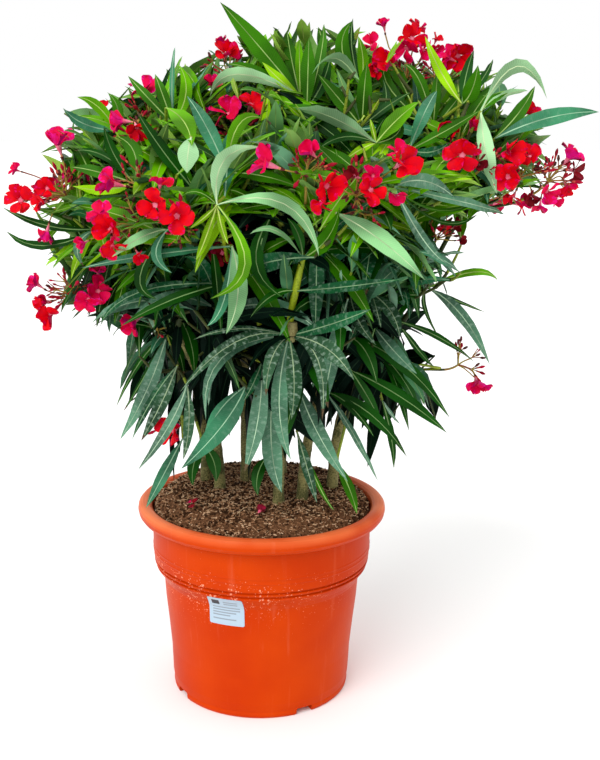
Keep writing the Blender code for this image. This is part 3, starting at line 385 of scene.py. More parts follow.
# compost and what lies on it: material, dark and light colour
EARTHS = {
    "compost": ("composted_bark", "#2C180C", "#7E583C"),
    "chip": ("bark_chip", "#9A6C46", "#E8C8A4"),
    "crumb": ("bark_crumb", "#664228", "#B08460"),
    "clod": ("dark_clod", "#140A04", "#4E321E"),
    "fibre": ("coir_fibre", "#9C7048", "#DCBA94"),
    "straw": ("dry_straw", "#B99A76", "#D8C09C", 0.8),
}
# label: material, colour
PAPERS = {
    "paper": ("coated_paper", "#AABECD"),
    "label_print": ("grey_print", "#34363C"),
    "label_faint": ("pale_print", "#8A949E"),
}


# ---------------------------------------------------------------- nodes of a material
def linear(code):
    """Linear colour of an sRGB hex value."""
    values = [int(code[place:place + 2], 16) / 255 for place in (1, 3, 5)]
    return (*[v / 12.92 if v <= 0.04045 else ((v + 0.055) / 1.055) ** 2.4 for v in values], 1)


def scaled(colour, factor, lift=0):
    """A colour made darker or lighter."""
    return (*[min(1, value * factor + lift) for value in colour[:3]], 1)


def add_node(tree, kind, inputs=None, **settings):
    """Add a node with its settings and its inputs, each a value or a link."""
    made = tree.nodes.new(kind)
    for name, value in settings.items():
        setattr(made, name, value)
    for name, value in (inputs or {}).items():
        socket = made.inputs[name]
        if isinstance(value, bpy.types.NodeSocket):
            tree.links.new(value, socket)
        else:
            socket.default_value = value
    return made


def new_material(name, code, roughness, ior=1.5, shine=0.5):
    """A Principled material in one colour. Returns it, its node tree and a place on the object."""
    made = bpy.data.materials.new(name)
    made.use_nodes = True
    shader = made.node_tree.nodes["Principled BSDF"]
    shader.inputs["Base Color"].default_value = linear(code)
    shader.inputs["Roughness"].default_value = roughness
    shader.inputs["IOR"].default_value = ior
    shader.inputs["Specular IOR Level"].default_value = shine
    return made, made.node_tree, add_node(made.node_tree, "ShaderNodeTexCoord").outputs["Object"]


def noise(tree, place, scale, detail=2.0, rough=0.5):
    """Cloudy noise at a scale."""
    inputs = {"Vector": place, "Scale": scale, "Detail": detail, "Roughness": rough}
    return add_node(tree, "ShaderNodeTexNoise", inputs).outputs["Fac"]


def stretched(tree, place, scale):
    """A place stretched by its own factor on each axis."""
    return add_node(tree, "ShaderNodeMapping", {"Vector": place, "Scale": scale}).outputs[0]


def spread(tree, value, low, high, least=0.0, most=1.0):
    """A value's run from low to high, spread from least to most."""
    inputs = {"Value": value, "From Min": low, "From Max": high, "To Min": least, "To Max": most}
    return add_node(tree, "ShaderNodeMapRange", inputs).outputs[0]


def maths(tree, operation, first, second=0.5):
    """The result of an operation on one value or two."""
    return add_node(tree, "ShaderNodeMath", {0: first, 1: second}, operation=operation).outputs[0]


def blend(tree, share, first, second):
    """A colour that goes over to a second one by a share."""
    return add_node(tree, "ShaderNodeMix", {0: share, 6: first, 7: second}, data_type="RGBA").outputs[2]


def paint(tree, colour):
    """Give the shader its colour."""
    tree.links.new(colour, tree.nodes["Principled BSDF"].inputs["Base Color"])


def emboss(tree, height, strength, distance):
    """Give the shader its relief."""
    relief = add_node(tree, "ShaderNodeBump", {"Height": height, "Strength": strength,
                                               "Distance": distance})
    tree.links.new(relief.outputs[0], tree.nodes["Principled BSDF"].inputs["Normal"])


# ---------------------------------------------------------------- materials
def leaf_blade(name, code, roughness, dust, shine):
    """Leathery leaf: waxy skin, fine side veins, and dried dust on the old ones."""
    made, tree, place = new_material(name, code, roughness, WAX_IOR, shine)
    flat = add_node(tree, "ShaderNodeUVMap", uv_map="blade").outputs[0]
    side, along, _ = add_node(tree, "ShaderNodeSeparateXYZ", {0: flat}).outputs
    slant = maths(tree, "MULTIPLY", maths(tree, "ABSOLUTE", side), VEIN_SLOPE)
    turn = maths(tree, "MULTIPLY", maths(tree, "SUBTRACT", along, slant), math.tau / VEIN_SPACING)
    vein = maths(tree, "SINE", turn)
    base = linear(code)
    tone = spread(tree, noise(tree, place, 16.0, 1.0), 0.36, 0.64)
    colour = blend(tree, tone, scaled(base, 0.60), scaled(base, 1.45))
    colour = blend(tree, spread(tree, vein, 0.55, 1.0, 0.0, 0.13), colour, scaled(base, 2.2, 0.01))
    if dust:
        patch = noise(tree, stretched(tree, flat, (110, 170, 1)), 1.0, 3.0, 0.55)
        colour = blend(tree, spread(tree, patch, 0.50, 0.80, 0.0, dust), colour, linear("#A0B8A4"))
    paint(tree, colour)
    emboss(tree, vein, 0.16, 0.0006)
    return made


def midrib(name, code):
    """Midrib: a smooth pale cord, a little darker in places along its length."""
    made, tree, place = new_material(name, code, 0.5, WAX_IOR, 0.1)
    base = linear(code)
    tone = spread(tree, noise(tree, place, 30.0, 1.0), 0.30, 0.60)
    paint(tree, blend(tree, tone, scaled(base, 0.45), base))
    return made


def living_bark(name, code, spot, roughness):
    """Smooth young bark with small corky spots."""
    made, tree, place = new_material(name, code, roughness, 1.45, 0.3)
    fine = noise(tree, place, 420.0)
    cover = spread(tree, maths(tree, "MULTIPLY", noise(tree, place, 45.0, 3.0), fine), 0.20, 0.34)
    paint(tree, blend(tree, cover, linear(code), linear(spot)))
    emboss(tree, fine, 0.5, 0.0010)
    return made


def petal_skin(name, code, streak):
    """Petal: thin and velvety, with faint streaks."""
    made, tree, place = new_material(name, code, 0.5, 1.40, 0.08)
    cover = spread(tree, noise(tree, place, 90.0), 0.42, 0.66)
    paint(tree, blend(tree, cover, linear(code), linear(streak)))
    return made


def earth(name, dark, light, roughness=0.95):
    """Composted bark: matt, crumbly, mottled dark and light, with painted shade in its hollows."""
    made, tree, place = new_material(name, dark, roughness, 1.4, 0.1)
    mottle_and_hollow_shade = noise(tree, place, 320.0, 4.0, 0.7)
    # the same noise sets the mottle and the bump, so the dark lands in the hollows as painted shade
    paint(tree, blend(tree, spread(tree, mottle_and_hollow_shade, 0.35, 0.68), linear(dark), linear(light)))
    emboss(tree, mottle_and_hollow_shade, 0.8, 0.002)
    return made


def label_paper(name, code):
    """Coated paper: smooth, off-white, very faintly mottled."""
    made, tree, place = new_material(name, code, 0.45, 1.5, 0.3)
    emboss(tree, noise(tree, place, 900.0), 0.1, 0.0002)
    return made


def terracotta_plastic():
    """Moulded polypropylene in terracotta: satin, with splash marks, pale scuffs, and a bleached rim top
    that also carries a painted highlight.
    """
    made, tree, place = new_material("terracotta_plastic", "#BE3800", 0.40, 1.49, 0.06)
    across, _, height = add_node(tree, "ShaderNodeSeparateXYZ", {0: place}).outputs
    tone = spread(tree, noise(tree, place, 7.0, 3.0), 0.38, 0.62)
    colour = blend(tree, tone, linear("#BA3200"), linear("#C43C00"))
    # splash marks, in a band under the rim and mostly on the left
    band = maths(tree, "MULTIPLY", spread(tree, height, 0.125, 0.205),
                 spread(tree, height, 0.245, 0.205, 0.16))
    area = maths(tree, "MULTIPLY", band, spread(tree, across, 0.12, -0.10, 0.55))
    for scale, most, look in ((150.0, 0.36, "#F0A080"), (330.0, 0.52, "#EC9A78")):
        spots = add_node(tree, "ShaderNodeTexVoronoi", {"Vector": place, "Scale": scale})
        share = spread(tree, noise(tree, place, scale * 0.35), 0.36, 0.68, 0.0, most)
        limit = maths(tree, "MULTIPLY", share, area)
        spot = maths(tree, "GREATER_THAN", limit, spots.outputs["Distance"])
        colour = blend(tree, maths(tree, "MULTIPLY", spot, 0.75), colour, linear(look))
    # the rim's top is bleached and painted with a highlight, and pale runs go down the wall
    wear_and_sheen = spread(tree, noise(tree, place, 9.0), 0.34, 0.66, 0.15, 0.62)
    bleach_and_highlight = maths(tree, "MULTIPLY", wear_and_sheen, spread(tree, height, 0.287, 0.2985))
    colour = blend(tree, bleach_and_highlight, colour, linear("#FF9860"))
    runs = noise(tree, stretched(tree, place, (90, 90, 6)), 1.0, 3.0)
    paint(tree, blend(tree, spread(tree, runs, 0.60, 0.78, 0.0, 0.10), colour, linear("#E89878")))
    emboss(tree, noise(tree, place, 700.0), 0.12, 0.0004)
    return made


def floor_paint():
    """Matt pale paint, very faintly mottled."""
    made, tree, place = new_material("floor_paint", "#FBFBFA", 0.9)
    paint(tree, blend(tree, noise(tree, place, 2.0), linear("#FAFAF9"), linear("#FCFCFB")))
    return made


LOOKS = {"terracotta": terracotta_plastic()}
for kind, (upper, lower, rib, roughness, dust, shine) in LEAF_KINDS.items():
    LOOKS[kind] = leaf_blade(f"leaf_{kind}_upper", upper, roughness, dust, shine)
    LOOKS[kind + "_under"] = leaf_blade(f"leaf_{kind}_under", lower, 0.55, dust * 0.5, shine / 2)
    LOOKS[kind + "_rib"] = midrib(f"leaf_{kind}_midrib", rib)
for make, rows in ((living_bark, BARKS), (petal_skin, PETALS), (earth, EARTHS), (label_paper, PAPERS)):
    for look, row in rows.items():
        LOOKS[look] = make(*row)


# ---------------------------------------------------------------- pieces
class Bundle:
    """Many small shapes gathered into one piece."""

    def __init__(self, name):
        self.name = name
        self.points = []
        self.marks = []
        self.faces = []
        self.slots = []
        self.looks = []

    def slot(self, look):
        """Number of a look among the piece's materials."""
        if look not in self.looks:
            self.looks.append(look)
        return self.looks.index(look)

    def add(self, points, faces, looks, marks=None):
        """Add a shape. Each face has its own look, and each point may have a place on the blade."""
        first = len(self.points)
        self.points.extend(points)
        self.marks.extend(marks or [(0, 0)] * len(points))
        self.faces.extend([tuple(first + corner for corner in face) for face in faces])
        self.slots.extend([self.slot(look) for look in looks])

    def finish(self, replaced, slot):
        """Make the piece, ride it on the body and hide the nodes that it stands for."""
        mesh = bpy.data.meshes.new(self.name)
        mesh.from_pydata(self.points, [], self.faces)
        flat = [value for face in self.faces for corner in face for value in self.marks[corner]]
        mesh.uv_layers.new(name="blade").uv.foreach_set("vector", flat)
        mesh.polygons.foreach_set("material_index", self.slots)
        for look in self.looks:
            mesh.materials.append(LOOKS[look])
        mesh.shade_smooth()
        mesh.set_sharp_from_angle(angle=LEAF_SHARP)
        piece = bpy.data.objects.new(self.name, mesh)
        bpy.context.scene.collection.objects.link(piece)
        dress(piece, replaced)


def dress(piece, replaced):
    """Ride a piece on the body, and hide the nodes that it stands for."""
    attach(piece, BODY)
    if replaced:
        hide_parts(*replaced)


# ---------------------------------------------------------------- small shapes
def frames(points, side):
    """Direction, side and upper direction at each point of a line."""
    made = []
    for index, point in enumerate(points):
        before = points[max(index - 1, 0)]
        after = points[min(index + 1, len(points) - 1)]
        run = (after - before).normalized()
        across = (side - run * side.dot(run)).normalized()
        made.append((point, run, across, across.cross(run)))
    return made


def ring(side, upper, turn):
    """Direction at a turn round an axis."""
    return side * math.cos(turn) + upper * math.sin(turn)


def tilted(axis, turn, tilt):
    """A direction tilted away from an axis, at a turn round it."""
    side = axis.orthogonal().normalized()
    return (axis * math.cos(tilt) + ring(side, axis.cross(side), turn) * math.sin(tilt)).normalized()


def spiral(axis, count, opening, rng, inset=0.3, jitter=0.3, start=0):
    """Directions round an axis, in a spiral that opens to an angle in degrees."""
    for number in range(count):
        turn = start + GOLDEN_TURN * number + rng.uniform(-jitter, jitter)
        yield tilted(axis, turn, math.radians(opening) * math.sqrt((number + inset) / count))


def bezier(start, first, second, end, steps):
    """Points of a cubic Bezier curve."""
    points = []
    for step in range(steps + 1):
        t = step / steps
        s = 1 - t
        points.append(start * s ** 3 + first * 3 * s * s * t + second * 3 * s * t * t + end * t ** 3)
    return points


def bent(start, pull, end, shares):
    """Points of a line from start to end that is pulled towards a third point."""
    return [start * (1 - t) ** 2 + pull * 2 * t * (1 - t) + end * t * t for t in shares]


def tube(bundle, points, radii, sides, looks):
    """A round shoot along a line of points, closed at both ends. Its look may change by band."""
    if isinstance(looks, str):
        looks = [looks] * (len(points) - 1)
    rows = frames(points, (points[-1] - points[0]).normalized().orthogonal())
    dots = [point + ring(across, upper, math.tau * number / sides) * radius
            for (point, _, across, upper), radius in zip(rows, radii) for number in range(sides)]
    faces = []
    names = []
    for row, look in enumerate(looks):
        low = row * sides
        for number in range(sides):
            after = (number + 1) % sides
            faces.append((low + number, low + sides + number, low + sides + after, low + after))
            names.append(look)
    faces.append(tuple(range(sides)))
    faces.append(tuple(reversed(range(len(dots) - sides, len(dots)))))
    bundle.add(dots, faces, names + [looks[0], looks[-1]])


def half_width(share, width):
    """Half the width of a leaf's blade at a share of its length."""
    if share <= PETIOLE:
        return PETIOLE_HALF
    place = (share - PETIOLE) / (1 - PETIOLE)
    return max(PETIOLE_HALF, width / 2 * math.sin(math.pi * place ** 0.90) ** 0.95)


# A leaf's row has eight points: six across its upper side and two under its midrib. Its bands of
# faces run between these pairs of points.
OVER = ((0, 1), (1, 2), (2, 3), (3, 4), (4, 5))
BELOW = ((0, 6), (6, 7), (7, 5))
ROW_POINTS = 8
BAND_PARTS = ["", "", "_rib", "", "", "_under", "_rib", "_under"]


def leaf_faces():
    """Faces of a leaf, its underside after its upper side in each band."""
    faces = [(0, 6, 7, 5, 4, 3, 2, 1)]
    for row in range(len(LEAF_ROWS) - 2):
        low = row * ROW_POINTS
        high = low + ROW_POINTS
        faces.extend([(low + a, low + b, high + b, high + a) for a, b in OVER])
        faces.extend([(low + a, high + a, high + b, low + b) for a, b in BELOW])
    tip = high + ROW_POINTS
    faces.extend([(high + a, high + b, tip) for a, b in OVER])
    faces.extend([(high + a, tip, high + b) for a, b in BELOW])
    return faces


LEAF_FACES = leaf_faces()
LEAF_PARTS = ["_rib"] + BAND_PARTS * (len(LEAF_ROWS) - 1)


def add_leaf(bundle, spine, side, width, kind, rng, fold=None):
    """A leaf along its spine: two curved halves folded along a midrib, closed underneath."""
    fold = rng.uniform(*LEAF_FOLD) if fold is None else fold
    wave = rng.uniform(*LEAF_WAVE)
    pitch = rng.uniform(*LEAF_WAVES) * math.tau
    phase = rng.uniform(0, math.tau)
    twist = math.radians(rng.uniform(-LEAF_TWIST, LEAF_TWIST))
    length = sum((b - a).length for a, b in zip(spine, spine[1:]))
    dots = []
    marks = []
    for share, (point, run, across, upper) in zip(LEAF_ROWS[:-1], frames(spine, side)):
        turn = Matrix.Rotation(twist * share, 3, run)
        across = turn @ across
        upper = turn @ upper
        half = half_width(share, width)
        rib = min(RIB_HALF * (1.15 - 0.75 * share), half * 0.8) / half
        for column in (-1, -0.5, -rib, rib, 0.5, 1):
            bend = abs(column)
            rise = fold * half * bend * (1.25 - 0.55 * bend)
            rise += wave * bend * math.sin(pitch * share + phase + (0.9 if column > 0 else 0))
            rise += LEAF_THICKNESS / 2 * (1 - bend)
            dots.append(point + across * column * half + upper * rise)
            marks.append((column * half, share * length))
        for column in (-rib, rib):
            dots.append(point + across * column * half - upper * LEAF_THICKNESS * 0.7)
            marks.append((column * half, share * length))
    dots.append(spine[-1])
    marks.append((0, length))
    names = [kind + part for part in LEAF_PARTS]
    if kind in WITHERING and rng.random() < WITHERED:
        names[-len(BAND_PARTS):] = ["withered"] * len(BAND_PARTS)
    bundle.add(dots, LEAF_FACES, names, marks)


def drooping_spine(base, direction, length, droop):
    """Points of a leaf that sets out in a direction and bows down under its weight."""
    points = [base]
    for low, high in zip(LEAF_ROWS, LEAF_ROWS[1:]):
        aim = (direction - UP * droop * ((low + high) / 2) ** DROOP_CURVE).normalized()
        points.append(points[-1] + aim * length * (high - low))
    return points


# ---------------------------------------------------------------- blossom
def petal_half(share):
    """Half a petal's width at a share of its length: narrow foot, broad round end."""
    if share <= PETAL_WIDEST:
        swell = math.sin(math.pi / 2 * share / PETAL_WIDEST) ** 1.5
        return PETAL_FOOT_HALF + (PETAL_HALF - PETAL_FOOT_HALF) * swell
    past = (share - PETAL_WIDEST) / (1 - PETAL_WIDEST)
    return PETAL_HALF * math.sqrt(max(0.02, 1 - past ** 2))


def add_petal(bundle, mouth, axis, radial, tilt, size, look, back, rng):
    """One petal: it rises from the throat, spreads, leans to one side and ruffles."""
    sideways = axis.cross(radial)
    roll = rng.uniform(0.10, 0.95)
    cup = rng.uniform(-0.45, 0.45)
    ripple = rng.uniform(0.0010, 0.0036) * size
    phase = rng.uniform(0, math.tau)
    curl = rng.uniform(-0.65, 0.75)
    reach = PETAL_LENGTH * size * rng.uniform(0.84, 1.10)
    place = mouth + radial * (THROAT_RADIUS - 0.0008) * size
    dots = []
    last = 0
    for share in PETAL_ROWS:
        here = 0.30 + (tilt - 0.30) * min(1, share * 1.5) + curl * share * share
        run = radial * math.sin(here) + axis * math.cos(here)
        face = radial * -math.cos(here) + axis * math.sin(here)
        place = place + run * (share - last) * reach
        last = share
        half = petal_half(share) * size
        lean = sideways * half * PETAL_SKEW * share
        for column in PETAL_COLUMNS:
            rise = column * half * roll + cup * half * column * column
            rise += ripple * share * share * math.sin(4.2 * column + phase)
            dots.append(place + lean + sideways * column * half + face * rise)
    count = len(PETAL_COLUMNS)
    rows = len(PETAL_ROWS)
    under = {}
    for row in range(1, rows - 1):
        for col in range(1, count - 1):
            under[row, col] = len(dots)
            dots.append(dots[row * count + col] - axis * PETAL_THICKNESS)
    faces = []
    for row in range(rows - 1):
        for col in range(count - 1):
            corners = [(row, col), (row, col + 1), (row + 1, col + 1), (row + 1, col)]
            top = [r * count + c for r, c in corners]
            low = [under.get((r, c), r * count + c) for r, c in corners]
            faces.extend([tuple(reversed(top)), tuple(low)])
    bundle.add(dots, faces, [look, back] * (len(faces) // 2))


def add_flower(bundle, foot, axis, openness, size, rng, look="petal"):
    """An open flower: calyx, funnel, five petals that overlap like a pinwheel, fringed throat."""
    side = axis.orthogonal().normalized()
    upper = axis.cross(side)
    spin = rng.uniform(0, math.tau)
    tube(bundle, [foot - axis * 0.001, foot + axis * 0.004 * size], [0.0013, 0.0026 * size], 5,
         "calyx")
    tube(bundle, [foot + axis * height * size for height in FUNNEL_HEIGHTS],
         [radius * size for radius in FUNNEL_RADII], 8, ["tube_foot", "tube", "tube"])
    mouth = foot + axis * TUBE_LENGTH * size
    for number in range(FRINGE):
        out = ring(side, upper, spin + math.tau * number / FRINGE)
        root = mouth + out * FRINGE_RING * size - axis * 0.001
        end = root + (axis + out * rng.uniform(0.1, 0.7)).normalized() * FRINGE_LENGTH * size
        tube(bundle, [root, end], [0.0006, 0.0002], 3, "throat")
    sag = rng.uniform(0, math.tau)
    for number in range(5):
        turn = spin + math.tau * number / 5 + rng.uniform(-0.16, 0.16)
        tilt = openness + 0.35 * math.cos(turn - sag) + rng.uniform(-0.42, 0.42)
        add_petal(bundle, mouth, axis, ring(side, upper, turn), tilt, size, look, look + "_back", rng)


def add_bud(bundle, foot, axis, length, rng):
    """A pointed bud, its petals still rolled."""
    girth = rng.uniform(0.8, 1.15) * min(1.0, length / BUD_GROWN)
    tube(bundle, [foot + axis * length * share for share in BUD_SHARES],
         [radius * girth for radius in BUD_RADII], 6, ["calyx", "bud_foot", "bud", "bud", "bud"])


# ---------------------------------------------------------------- the view
EYE_TURN = (Matrix.Rotation(EYE_YAW, 3, "Z") @ Matrix.Rotation(math.pi / 2 - EYE_PITCH, 3, "X")
            @ Matrix.Rotation(EYE_ROLL, 3, "Z"))
EYE_UNTURN = EYE_TURN.inverted()
EYE_RIGHT = EYE_TURN @ Vector((1, 0, 0))


def seen(across, down, depth):
    """Point at a depth along Y that the view shows at a pixel."""
    aim = EYE_TURN @ Vector((across - VIEW[0] / 2, VIEW[1] / 2 - down, -VIEW_FOCAL))
    return EYE + aim * (depth - EYE.y) / aim.y


def in_view(point):
    """Pixel where the view shows a point, and the point's distance."""
    local = EYE_UNTURN @ (point - EYE)
    scale = VIEW_FOCAL / -local.z
    return VIEW[0] / 2 + local.x * scale, VIEW[1] / 2 - local.y * scale, local.length


def view_cells(points, size):
    """Cell of the view that shows each point, and the point's distance."""
    return [((int(across // size), int(down // size)), distance)
            for across, down, distance in map(in_view, points)]


def in_hole(point):
    """True if the view shows a point in a hole."""
    across, down, _ = in_view(point)
    return any((across - x) ** 2 + (down - y) ** 2 < r * r for x, y, r in HOLES)


# ---------------------------------------------------------------- where leaves may go
def cell_of(point):
    """Cell of the crown that a point is in."""
    return tuple(int(value // CELL) for value in point)


class Room:
    """Room in the crown: the cells that leaves fill, and the lines of sight kept open."""

    def __init__(self):
        self.cells = set()
        self.sights = {}
        self.shown = set()

    def fill(self, points):
        """Mark the cells of a leaf's points."""
        self.cells.update(map(cell_of, points))

    def enclosed(self, across, down):
        """True if the view shows nothing at a cell, with leaves near it on all four sides."""
        if (across, down) in self.shown:
            return False
        return all(any((across + x * k, down + y * k) in self.shown for k in range(1, ENCLOSED))
                   for x, y in ((1, 0), (-1, 0), (0, 1), (0, -1)))

    def in_outline(self, points):
        """True if the view shows every point over leaves or over a gap between them."""
        return all(cell in self.shown or self.enclosed(*cell)
                   for cell, _ in view_cells(points, GLIMPSE))

    def crowding(self, points):
        """Share of a leaf's points whose cells are taken."""
        return sum(cell_of(point) in self.cells for point in points) / len(points)

    def keep_sight(self, points):
        """Keep the line of sight open to each point that isn't far back in the crown."""
        near = [point for point in points if point.y <= SIGHT_DEPTH]
        for cell, distance in view_cells(near, SIGHT):
            self.sights[cell] = max(self.sights.get(cell, 0), distance)

    def hides(self, points):
        """Share of a leaf's points that stand in a line of sight or show in a hole."""
        count = 0
        for point, (cell, distance) in zip(points, view_cells(points, SIGHT)):
            count += self.sights.get(cell, 0) > distance - SIGHT_MARGIN or in_hole(point)
        return count / len(points)

    def place_leaf(self, bundle, spine, side, width, points, kind, rng, fold=None):
        """Add a leaf, and mark what it fills and where the view shows it."""
        self.fill(points)
        self.shown.update(cell for cell, _ in view_cells(cover_points(spine, side, width), GLIMPSE))
        add_leaf(bundle, spine, side, width, kind, rng, fold)


def leaf_points(spine, side, width):
    """Points over a leaf, past its foot: what it fills and what it hides."""
    made = []
    for (point, _, across, _), share in zip(frames(spine, side), LEAF_ROWS):
        if share > LEAF_START:
            half = half_width(share, width) * 0.8
            made.extend([point - across * half, point, point + across * half])
    return made


def cover_points(spine, side, width):
    """Points all over a leaf, close together, to mark where the view shows it."""
    made = []
    rows = [(point, across * half_width(share, width))
            for (point, _, across, _), share in zip(frames(spine, side), LEAF_ROWS)]
    for (near, near_half), (far, far_half) in zip(rows, rows[1:]):
        for step in (0, 0.33, 0.67):
            half = near_half.lerp(far_half, step)
            made.extend([near.lerp(far, step) + half * reach for reach in (-0.75, -0.35, 0, 0.35, 0.75)])
    return made


def spread_points(points):
    """A leaf's points with two more between each pair of rows."""
    made = list(points)
    for near, far in zip(points, points[3:]):
        made.append(near * 0.67 + far * 0.33)
        made.append(near * 0.33 + far * 0.67)
    return made


def from_middle(point):
    """How far a point is from the crown's axis to its outline, an ellipse at each height."""
    for (low, low_left, low_right), (high, high_left, high_right) in zip(OUTLINE, OUTLINE[1:]):
        if low <= point.z <= high:
            share = (point.z - low) / (high - low)
            left = low_left + (high_left - low_left) * share
            right = low_right + (high_right - low_right) * share
            half = (right - left) / 2
            return math.hypot((point.x - (left + right) / 2) / half, point.y / (half * OUTLINE_DEPTH))
    return 2.0


def clear_of_tub(point):
    """True if a point is above the compost and the rim."""
    over = math.hypot(point.x, point.y) < RIM_RADIUS + TUB_CLEARANCE
    return point.z > (SOIL_TOP + TUB_CLEARANCE if over else LOWEST)


def may_reach(point):
    """True if a rule leaf may reach a point: inside the crown's outline, and clear of the tub."""
    return from_middle(point) < 1 and clear_of_tub(point) and FRONT < point.y < BACK


# ---------------------------------------------------------------- limbs
def cane_point(cane, height):
    """Point and direction of a cane's axis at a height: it starts upright and leans out."""
    _, foot, tip = cane
    low = SOIL_TOP + GAP
    share = (height - low) / (tip[2] - low)
    start = Vector((*foot, low))
    end = Vector(tip)
    bend = Vector((*foot, (low + tip[2]) / 2))
    point = start * (1 - share) ** 2 + bend * 2 * share * (1 - share) + end * share ** 2
    direction = (bend - start) * (1 - share) + (end - bend) * share
    return point, direction.normalized()


def cane_radius(cane, height):
    """Radius of a cane at a height, with its root flare."""
    low = SOIL_TOP + GAP
    share = (height - low) / (cane[2][2] - low)
    plain = CANE_RADIUS + (CANE_TIP_RADIUS - CANE_RADIUS) * share
    return plain * (1 + FLARE * math.exp(-(height - low) / FLARE_HEIGHT))


def mass_lean(name, heart):
    """Direction that a mass grows in, out from the crown's foot. A skirt mass is nearly level."""
    if name.startswith("skirt"):
        fan = Vector((heart.x - CROWN_FOOT.x, heart.y - CROWN_FOOT.y, 0)).normalized()
        return (fan + UP * SKIRT_UP).normalized()
    return ((heart - CROWN_FOOT).normalized() + UP * LEAN_UP).normalized()


def bough_line(cane, height, heart, lean):
    """Points of a bough's axis, from inside its cane to the heart of its mass."""
    end = heart - lean * STEM_LENGTH
    point, direction = cane_point(cane, height or cane[2][2])
    if height:
        outward = end - point
        direction = (outward - direction * outward.dot(direction)).normalized()
    reach = (end - point).length
    return bezier(point, point + direction * reach * 0.35, end - lean * reach * 0.30, end, BOUGH_STEPS)


def limb(name, lines, lumps, look, replaced):
    """Bark along lines of (points, radii), through bevelled curves, raised in lumps."""
    bpy.ops.curve.primitive_bezier_curve_add()
    curve = bpy.context.object.data
    bpy.context.object.name = name
    curve.splines.clear()
    curve.dimensions = "3D"
    curve.bevel_depth = 1
    curve.bevel_resolution = 4
    curve.use_fill_caps = True
    for points, radii in lines:
        spline = curve.splines.new("POLY")
        spline.points.add(len(points) - 1)
        for dot, place, radius in zip(spline.points, points, radii):
            dot.co = (*place, 1)
            dot.radius = radius
    bpy.ops.object.convert(target="MESH")
    piece = bpy.context.object
    bpy.ops.object.mode_set(mode="EDIT")
    bpy.ops.mesh.select_all(action="SELECT")
    bpy.ops.mesh.remove_doubles(threshold=0.00001)
    bpy.ops.object.mode_set(mode="OBJECT")
    bpy.ops.object.shade_smooth()
    raised = piece.modifiers.new("Lumps", "DISPLACE")
    raised.texture = bpy.data.textures.new(name + "_lumps", "CLOUDS")
    raised.texture.noise_depth = 2
    raised.texture.noise_scale = lumps[0]
    raised.strength = lumps[1]
    raised.texture_coords = "GLOBAL"
    raised.mid_level = 0.5
    bpy.ops.object.modifier_apply(modifier="Lumps")
    piece.data.materials.append(LOOKS[look])
    dress(piece, replaced)


def build_canes():
    """The canes, each with its flare, its old leaf scars and its bark."""
    rng = random.Random("canes")
    for cane in CANES:
        low = SOIL_TOP - 0.006
        high = cane[2][2]
        heights = [low + (high - low) * step / CANE_STEPS for step in range(CANE_STEPS + 1)]
        points = [cane_point(cane, max(height, SOIL_TOP + GAP))[0] for height in heights]
        for point, height in zip(points, heights):
            point.z = height
        radii = [cane_radius(cane, max(height, SOIL_TOP + GAP)) for height in heights]
        scar = low + 0.02
        while scar < high - 0.01:
            for step, height in enumerate(heights):
                radii[step] *= 1 + SCAR_RISE * math.exp(-((height - scar) / SCAR_LENGTH) ** 2)
            scar += rng.uniform(*SCAR_GAPS)
        limb(cane[0] + "_bark", [(points, radii)], CANE_LUMPS, "bark", [cane[0]])


def build_boughs():
    """The boughs, one to each crown mass, and the skirt's stems together."""
    canes = {cane[0]: cane for cane in CANES}
    stems = []
    for name, cane, height, place, _, _ in CROWN + SKIRT:
        heart = Vector(place)
        points = bough_line(canes[cane], height, heart, mass_lean(name, heart))
        thick = BOUGH_RADIUS if height else CANE_TIP_RADIUS * 0.95
        radii = [thick + (BOUGH_TIP_RADIUS - thick) * step / BOUGH_STEPS
                 for step in range(BOUGH_STEPS + 1)]
        line = (points + [heart], radii + [BOUGH_TIP_RADIUS * 0.9])
        if name.startswith("skirt"):
            stems.append(line)
            continue
        bough = name.replace("crown_", "bough_")
        limb(bough + "_bark", [line], BOUGH_LUMPS, "green_bark", [bough])
    limb("skirt_stems_bark", stems, BOUGH_LUMPS, "green_bark", [])
